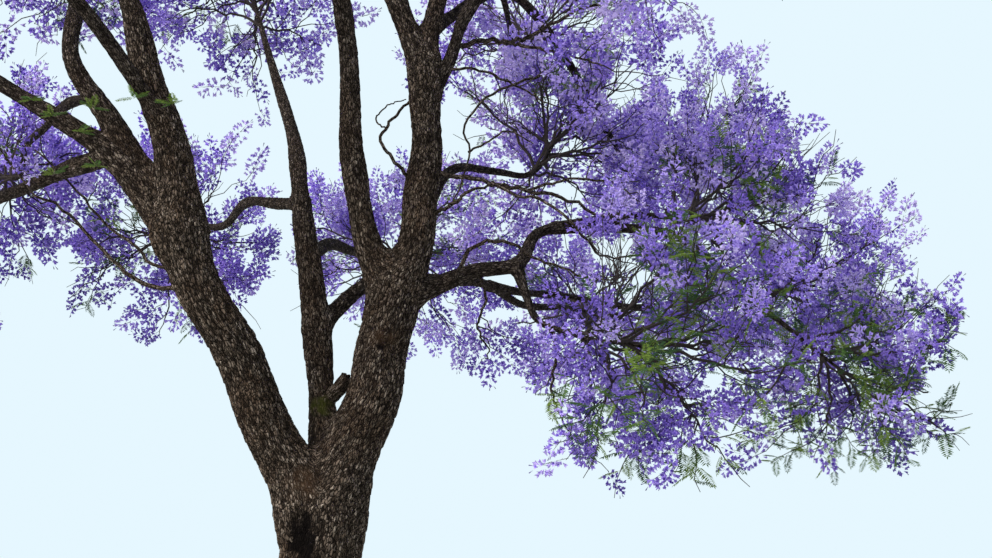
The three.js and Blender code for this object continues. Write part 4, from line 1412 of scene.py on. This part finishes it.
def leaf_shape(random):
    """A twice-feathered leaf one unit long along +Z: a stalk that droops along +Y by the square
    of the way, and pairs of narrow blades that are longest at its middle."""
    share = np.linspace(*PINNA_PLACES, PINNAE)
    share = np.concatenate([share, share, [END_PINNA]])
    sign = np.concatenate([np.ones(PINNAE), -np.ones(PINNAE), [0]])
    count = len(share)
    along = np.stack([np.zeros(count), LEAF_DROOP * share ** 2, share * LEAF_AXIS], 1)
    swell = np.sin(np.pi * (PINNA_SWELL[0] + PINNA_SWELL[1] * share)) ** PINNA_FULLNESS
    length = PINNA_LENGTH * swell * random.uniform(*PINNA_SIZES, count)
    forward = np.where(sign == 0, 1, PINNA_FORWARD) + random.uniform(-PINNA_STRAY, PINNA_STRAY, count)
    aim = unit(np.stack([sign, np.full(count, PINNA_LIFT), forward], 1))
    blade = unit(np.cross(aim, [0, 1, 0]) + random.normal(0, BLADE_TURN, (count, 3)))
    middle = along + aim * (length * BLADE_WIDEST)[:, None]
    half = blade * BLADE
    tip = along + aim * length[:, None] + PINNA_TIP
    places = np.stack([along, middle + half, tip, middle - half], 1).reshape(-1, 3)
    k = np.arange(count) * 4
    faces = np.concatenate([np.stack([k, k + 1, k + 2], 1), np.stack([k, k + 2, k + 3], 1)])
    bends = zip(LEAF_BENDS[:-1], LEAF_BENDS[1:])
    return joined([(places, faces), *[spike(low, high, LEAF_STALK_RADIUS) for low, high in bends]])


# Materials

def shader(material):
    """A material's node tree and its Principled shader."""
    material.use_nodes = True
    tree = material.node_tree
    return tree, next(n for n in tree.nodes if n.type == "BSDF_PRINCIPLED")


def plain(name, colour, roughness, sheen=0.0):
    """A plain colour for pieces made of many small faces."""
    material = bpy.data.materials.new(name)
    _, bsdf = shader(material)
    bsdf.inputs["Base Color"].default_value = (*colour, 1)
    bsdf.inputs["Roughness"].default_value = roughness
    bsdf.inputs["Specular IOR Level"].default_value = PLAIN_SHINE
    bsdf.inputs["Sheen Weight"].default_value = sheen
    return material


def bark_material():
    """Scaly bark: dark in the cracks, each plate of its own tone, with lichen, moss and painted shade in a
    hollow.
    """
    material = bpy.data.materials.new("jacaranda_bark")
    tree, bsdf = shader(material)
    nodes, link = tree.nodes, tree.links.new

    def fill(socket, value):
        """Sets a socket's value, or links it to the socket that gives it."""
        if hasattr(value, "links"):
            link(value, socket)
        else:
            socket.default_value = value

    def made(kind, inputs, **settings):
        """A node of a kind, with its settings and its inputs."""
        node = nodes.new("ShaderNode" + kind)
        for key, value in settings.items():
            setattr(node, key, value)
        for key, value in inputs.items():
            fill(node.inputs[key], value)
        return node

    def mark(name, output="Fac"):
        """A value that the mesh carries at each place."""
        return made("Attribute", {}, attribute_name=name).outputs[output]

    def noise(scale, detail, output="Fac"):
        """Noise along the grain, whose patches are one over the scale across."""
        return made("TexNoise", {"Vector": grain, "Scale": scale, "Detail": detail}).outputs[output]

    def ranged(value, low, high, to_low=0.0, to_high=1.0):
        """A value eased from one pair of limits to another."""
        limits = {"Value": value, "From Min": low, "From Max": high, "To Min": to_low, "To Max": to_high}
        return made("MapRange", limits, interpolation_type="SMOOTHSTEP").outputs["Result"]

    def mixed(share, first, second):
        """The first colour, with a share of the second over it."""
        node = made("Mix", {"Factor": share}, data_type="RGBA")
        for key, colour in (("A", first), ("B", second)):
            socket = next(s for s in node.inputs if s.name == key and s.type == "RGBA")
            fill(socket, colour if hasattr(colour, "links") else (*colour, 1))
        return next(s for s in node.outputs if s.type == "RGBA")

    def coated(colour, coats):
        """A colour under coats: what each follows, between which values, its most and its colour."""
        for follows, low, high, most, coat in coats:
            colour = mixed(ranged(follows, low, high, 0, most), colour, coat)
        return colour

    def cells(feature, output):
        """The small scales of the bark: the cells of bent space, one to each unit."""
        return made("TexVoronoi", {"Vector": bent, "Scale": 1}, feature=feature).outputs[output]

    def bump(height, strength, depth, **under):
        """The normal of a relief of a depth, laid over the one under it."""
        inputs = {"Height": height, "Strength": strength, "Distance": depth, **under}
        return made("Bump", inputs).outputs["Normal"]

    grain = mark("grain", "Vector")
    fine = noise(150, 4)
    scales = made("Mapping", {"Vector": grain, "Scale": [1 / size for size in SCALE_SIZE]})
    wander = {0: noise(26, 2, "Color"), 1: [SCALE_WANDER] * 3, 2: scales.outputs["Vector"]}
    bent = made("VectorMath", wander, operation="MULTIPLY_ADD").outputs["Vector"]
    edge = cells("DISTANCE_TO_EDGE", "Distance")
    own = made("SeparateColor", {"Color": cells("F1", "Color")})
    colour = mixed(ranged(own.outputs["Red"], 0.1, 0.9), BARK_DARK, BARK_LIGHT)
    colour = coated(colour, [
        (own.outputs["Green"], 0.72, 0.95, 0.85, BARK_PALE),
        (noise(3.5, 3), 0.4, 0.7, 0.6, BARK_WARM),
        (noise(14, 4), 0.55, 0.72, 0.5, BARK_LICHEN),
        (mark("tone"), 0.2, 1, 0.5, BARK_DARK),
    ])
    colour = mixed(ranged(fine, 0.3, 0.6), mixed(0.4, colour, BARK_CRACK), colour)
    colour = coated(colour, [(mark("thin"), 0.3, 0.85, 0.7, BARK_YOUNG)])
    colour = mixed(ranged(edge, 0.02, 0.16), BARK_CRACK, colour)
    colour = mixed(ranged(mark("plate"), 0.0, 0.8, 0.3, 1), BARK_CRACK, colour)
    colour = coated(colour, [
        (mark("rust"), 0.1, 0.9, 0.4, BARK_RUST),
        (mark("moss"), 0.25, 0.7, 0.8, MOSS_COLOUR),
        # painted shade: near-black in the hollow and the crease
        (mark("hollow"), 0.1, 0.6, 0.97, PAINTED_HOLLOW_SHADE),
    ])
    link(colour, bsdf.inputs["Base Color"])
    link(ranged(fine, 0.2, 0.8, 0.98, 0.82), bsdf.inputs["Roughness"])
    bsdf.inputs["Specular IOR Level"].default_value = BARK_SHINE
    scaly = bump(ranged(edge, 0.0, 0.3), 1, SCALE_DEPTH)
    link(bump(fine, 0.5, GRIT_DEPTH, Normal=scaly), bsdf.inputs["Normal"])
    return material


# The tree's skeleton
limbs = {"trunk": grow_trunk()}
for number, plan in enumerate(FORKING + BOUGHS):
    limbs[plan["name"]] = grow_limb(plan, limbs[plan["leaves"]], number + 1)
for number, limb in enumerate(limbs.values()):
    limb.shift = number * GRAIN_SHIFT
    steps = np.linspace(0, 1, PATH_STEPS + 1)
    limb.path = limb.line(steps)
    limb.path_radii = limb.radius(steps, 0) * np.ones(len(steps))
    steps = np.linspace(0, 1, int(limb.length / POINT_GAP) + 2)
    limb.points = limb.whole(steps)
    limb.point_radii = full_radius(limb, steps, 0) * np.ones(len(steps))
limb_points = np.concatenate([limb.path for limb in limbs.values()])
limb_radii = np.concatenate([limb.path_radii for limb in limbs.values()])
masses = [limb for limb in limbs.values() if limb.centre is not None]
for mass in masses:
    low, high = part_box("blossom_" + mass.name)
    mass.box = np.array(low), np.array(high)
    mass.leafiness = float(np.interp(mass.centre[2], *zip(*LEAFY_BY_HEIGHT)))
    mass.side = "top" if mass.centre[2] > TOP_FROM else "left" if mass.centre[0] < 0 else "right"


def kin(limb):
    """The limbs that a limb joins: its parent, its children and those that leave near it."""
    others = [other for other in limbs.values() if other is not limb]
    return [other for other in others
            if other is limb.parent or other.parent is limb or (limb.parent and other.parent is limb.parent)]


bark = bark_material()
for limb in limbs.values():
    limb.surface, limb.marks = limb_surface(limb, kin(limb))
stub = SimpleNamespace()
stub.surface, stub.marks = stub_surface()
for name in STEMS:
    piece = make_piece(name + "_bark", limbs[name].surface, bark, limbs[name].marks)
    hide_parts(name)
for name, members in BOUGH_GROUPS.items():
    group = [limbs[member] for member in members]
    parts = group + [stub] if "back_upper" in members else group
    marks = {key: np.concatenate([part.marks[key] for part in parts]) for key in stub.marks}
    piece = make_piece(name, joined([part.surface for part in parts]), bark, marks)
    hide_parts(*[limb.node for limb in group])

# The crown
dressed = [dress_mass(mass, index, masses) for index, mass in enumerate(masses)]
shape_random = np.random.default_rng(SHAPE_SEED)
stray_paths, stray_radii, stray_shoots, stray_panicles = grow_strays(shape_random)
tufts = grow_tufts(shape_random)
panicle_kinds = [panicle_shape(shape_random) for _ in range(PANICLE_KINDS)]
leaf_kinds = [leaf_shape(shape_random) for _ in range(LEAF_KINDS)]
twig_material = plain("twig_bark", TWIG_COLOUR, 0.9)
stalk_material = plain("panicle_stalk", STALK_COLOUR, 0.8)
bud_material = plain("bud", BUD_COLOUR, 0.7)
blossom_materials = [plain("blossom_" + name, colour, 0.6, 0.06) for name, colour in BLOSSOM_TINTS]
leaf_materials = [plain("leaf_" + name, colour, 0.6) for name, colour in LEAF_TINTS]


def copies(kinds, part, growth, tint=None):
    """One part of every panicle or leaf, kind by kind, in a tint where one is given."""
    parts = []
    for number, kind in enumerate(kinds):
        picked = growth.kind == number
        if tint is not None:
            picked = picked & (growth.tint == tint)
        if picked.any():
            frames = frames_along(growth.aim[picked], growth.turns[picked])
            shape = getattr(kind, part) if part else kind
            parts.append(placed(shape, growth.root[picked], frames, growth.size[picked]))
    return joined(parts)


def gathered(side, kind, more):
    """All the panicles or leaves of the masses on one side and some more, as arrays."""
    growths = [getattr(dress, kind) for mass, dress in zip(masses, dressed) if mass.side == side] + more
    keys = vars(growths[0])
    return SimpleNamespace(**{key: np.concatenate([getattr(g, key) for g in growths]) for key in keys})


for side in SIDES:
    own = [(mass, dress) for mass, dress in zip(masses, dressed) if mass.side == side]
    twigs = np.concatenate([dress.twigs for _, dress in own])
    shoots = np.concatenate([dress.shoots for _, dress in own])
    if side == "right":
        shoots = np.concatenate([shoots, stray_shoots])
    wood = [tapered(twigs, TWIG_RADII, TWIG_SIDES), tapered(shoots, SHOOT_RADII, SHOOT_SIDES)]
    piece = make_piece("twigs_" + side, joined(wood), twig_material)
    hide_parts(*["blossom_" + mass.name for mass, _ in own])
    panicles = gathered(side, "panicles", [stray_panicles] if side == "right" else [])
    make_piece("stalks_" + side, copies(panicle_kinds, "stalks", panicles), stalk_material)
    make_piece("buds_" + side, copies(panicle_kinds, "buds", panicles), bud_material)
    for tint, (name, _) in enumerate(BLOSSOM_TINTS):
        flowers = copies(panicle_kinds, "flowers", panicles, tint)
        make_piece(f"blossom_{name}_{side}", flowers, blossom_materials[tint])
    leaves = gathered(side, "leaves", [tufts] if side == "left" else [])
    leaves.turns = np.zeros(len(leaves.root))
    for tint, (name, _) in enumerate(LEAF_TINTS):
        shape = copies(leaf_kinds, None, leaves, tint)
        make_piece(f"leaves_{name}_{side}", shape, leaf_materials[tint])

thin_branches = tubes(stray_paths, stray_radii, STRAY_SIDES)
make_piece("thin_branches", thin_branches, bark, stray_marks(stray_paths, stray_radii))

# Floor, light and camera
floor_mesh = bpy.data.meshes.new("floor")
corners = [(-FLOOR_SIZE, -FLOOR_SIZE, 0), (FLOOR_SIZE, -FLOOR_SIZE, 0), (FLOOR_SIZE, FLOOR_SIZE, 0),
           (-FLOOR_SIZE, FLOOR_SIZE, 0)]
floor_mesh.from_pydata(corners, [], [(0, 1, 2, 3)])
floor_mesh.materials.append(plain("pale_floor", FLOOR_COLOUR, 0.9))
floor = added("floor", floor_mesh)

world = bpy.data.worlds.new("pale_sky")
world.use_nodes = True
background = next(n for n in world.node_tree.nodes if n.type == "BACKGROUND")
background.inputs["Color"].default_value = (*SKY_COLOUR, 1)
seen_sky = world.node_tree.nodes.new("ShaderNodeLightPath")
sky_strength = world.node_tree.nodes.new("ShaderNodeMapRange")
sky_strength.inputs["To Min"].default_value = SKY_LIGHT
sky_strength.inputs["To Max"].default_value = 1.0
world.node_tree.links.new(seen_sky.outputs["Is Camera Ray"], sky_strength.inputs["Value"])
world.node_tree.links.new(sky_strength.outputs["Result"], background.inputs["Strength"])
bpy.context.scene.world = world
bpy.context.scene.view_settings.view_transform = "Standard"

sun_data = bpy.data.lights.new("soft_sun", "SUN")
sun_data.energy = SUN_STRENGTH
sun_data.angle = math.radians(SUN_SPREAD)
sun_data.color = SUN_COLOUR
sun = added("soft_sun", sun_data)
sun.rotation_euler = Vector(SUN_FROM).to_track_quat("Z", "Y").to_euler()

camera_data = bpy.data.cameras.new("camera")
camera_data.lens = CAMERA_LENS
camera_data.sensor_width = CAMERA_SENSOR
camera = added("camera", camera_data)
camera.location = CAMERA_PLACE
camera.rotation_euler = (math.radians(90 + CAMERA_PITCH), 0, 0)
bpy.context.scene.camera = camera
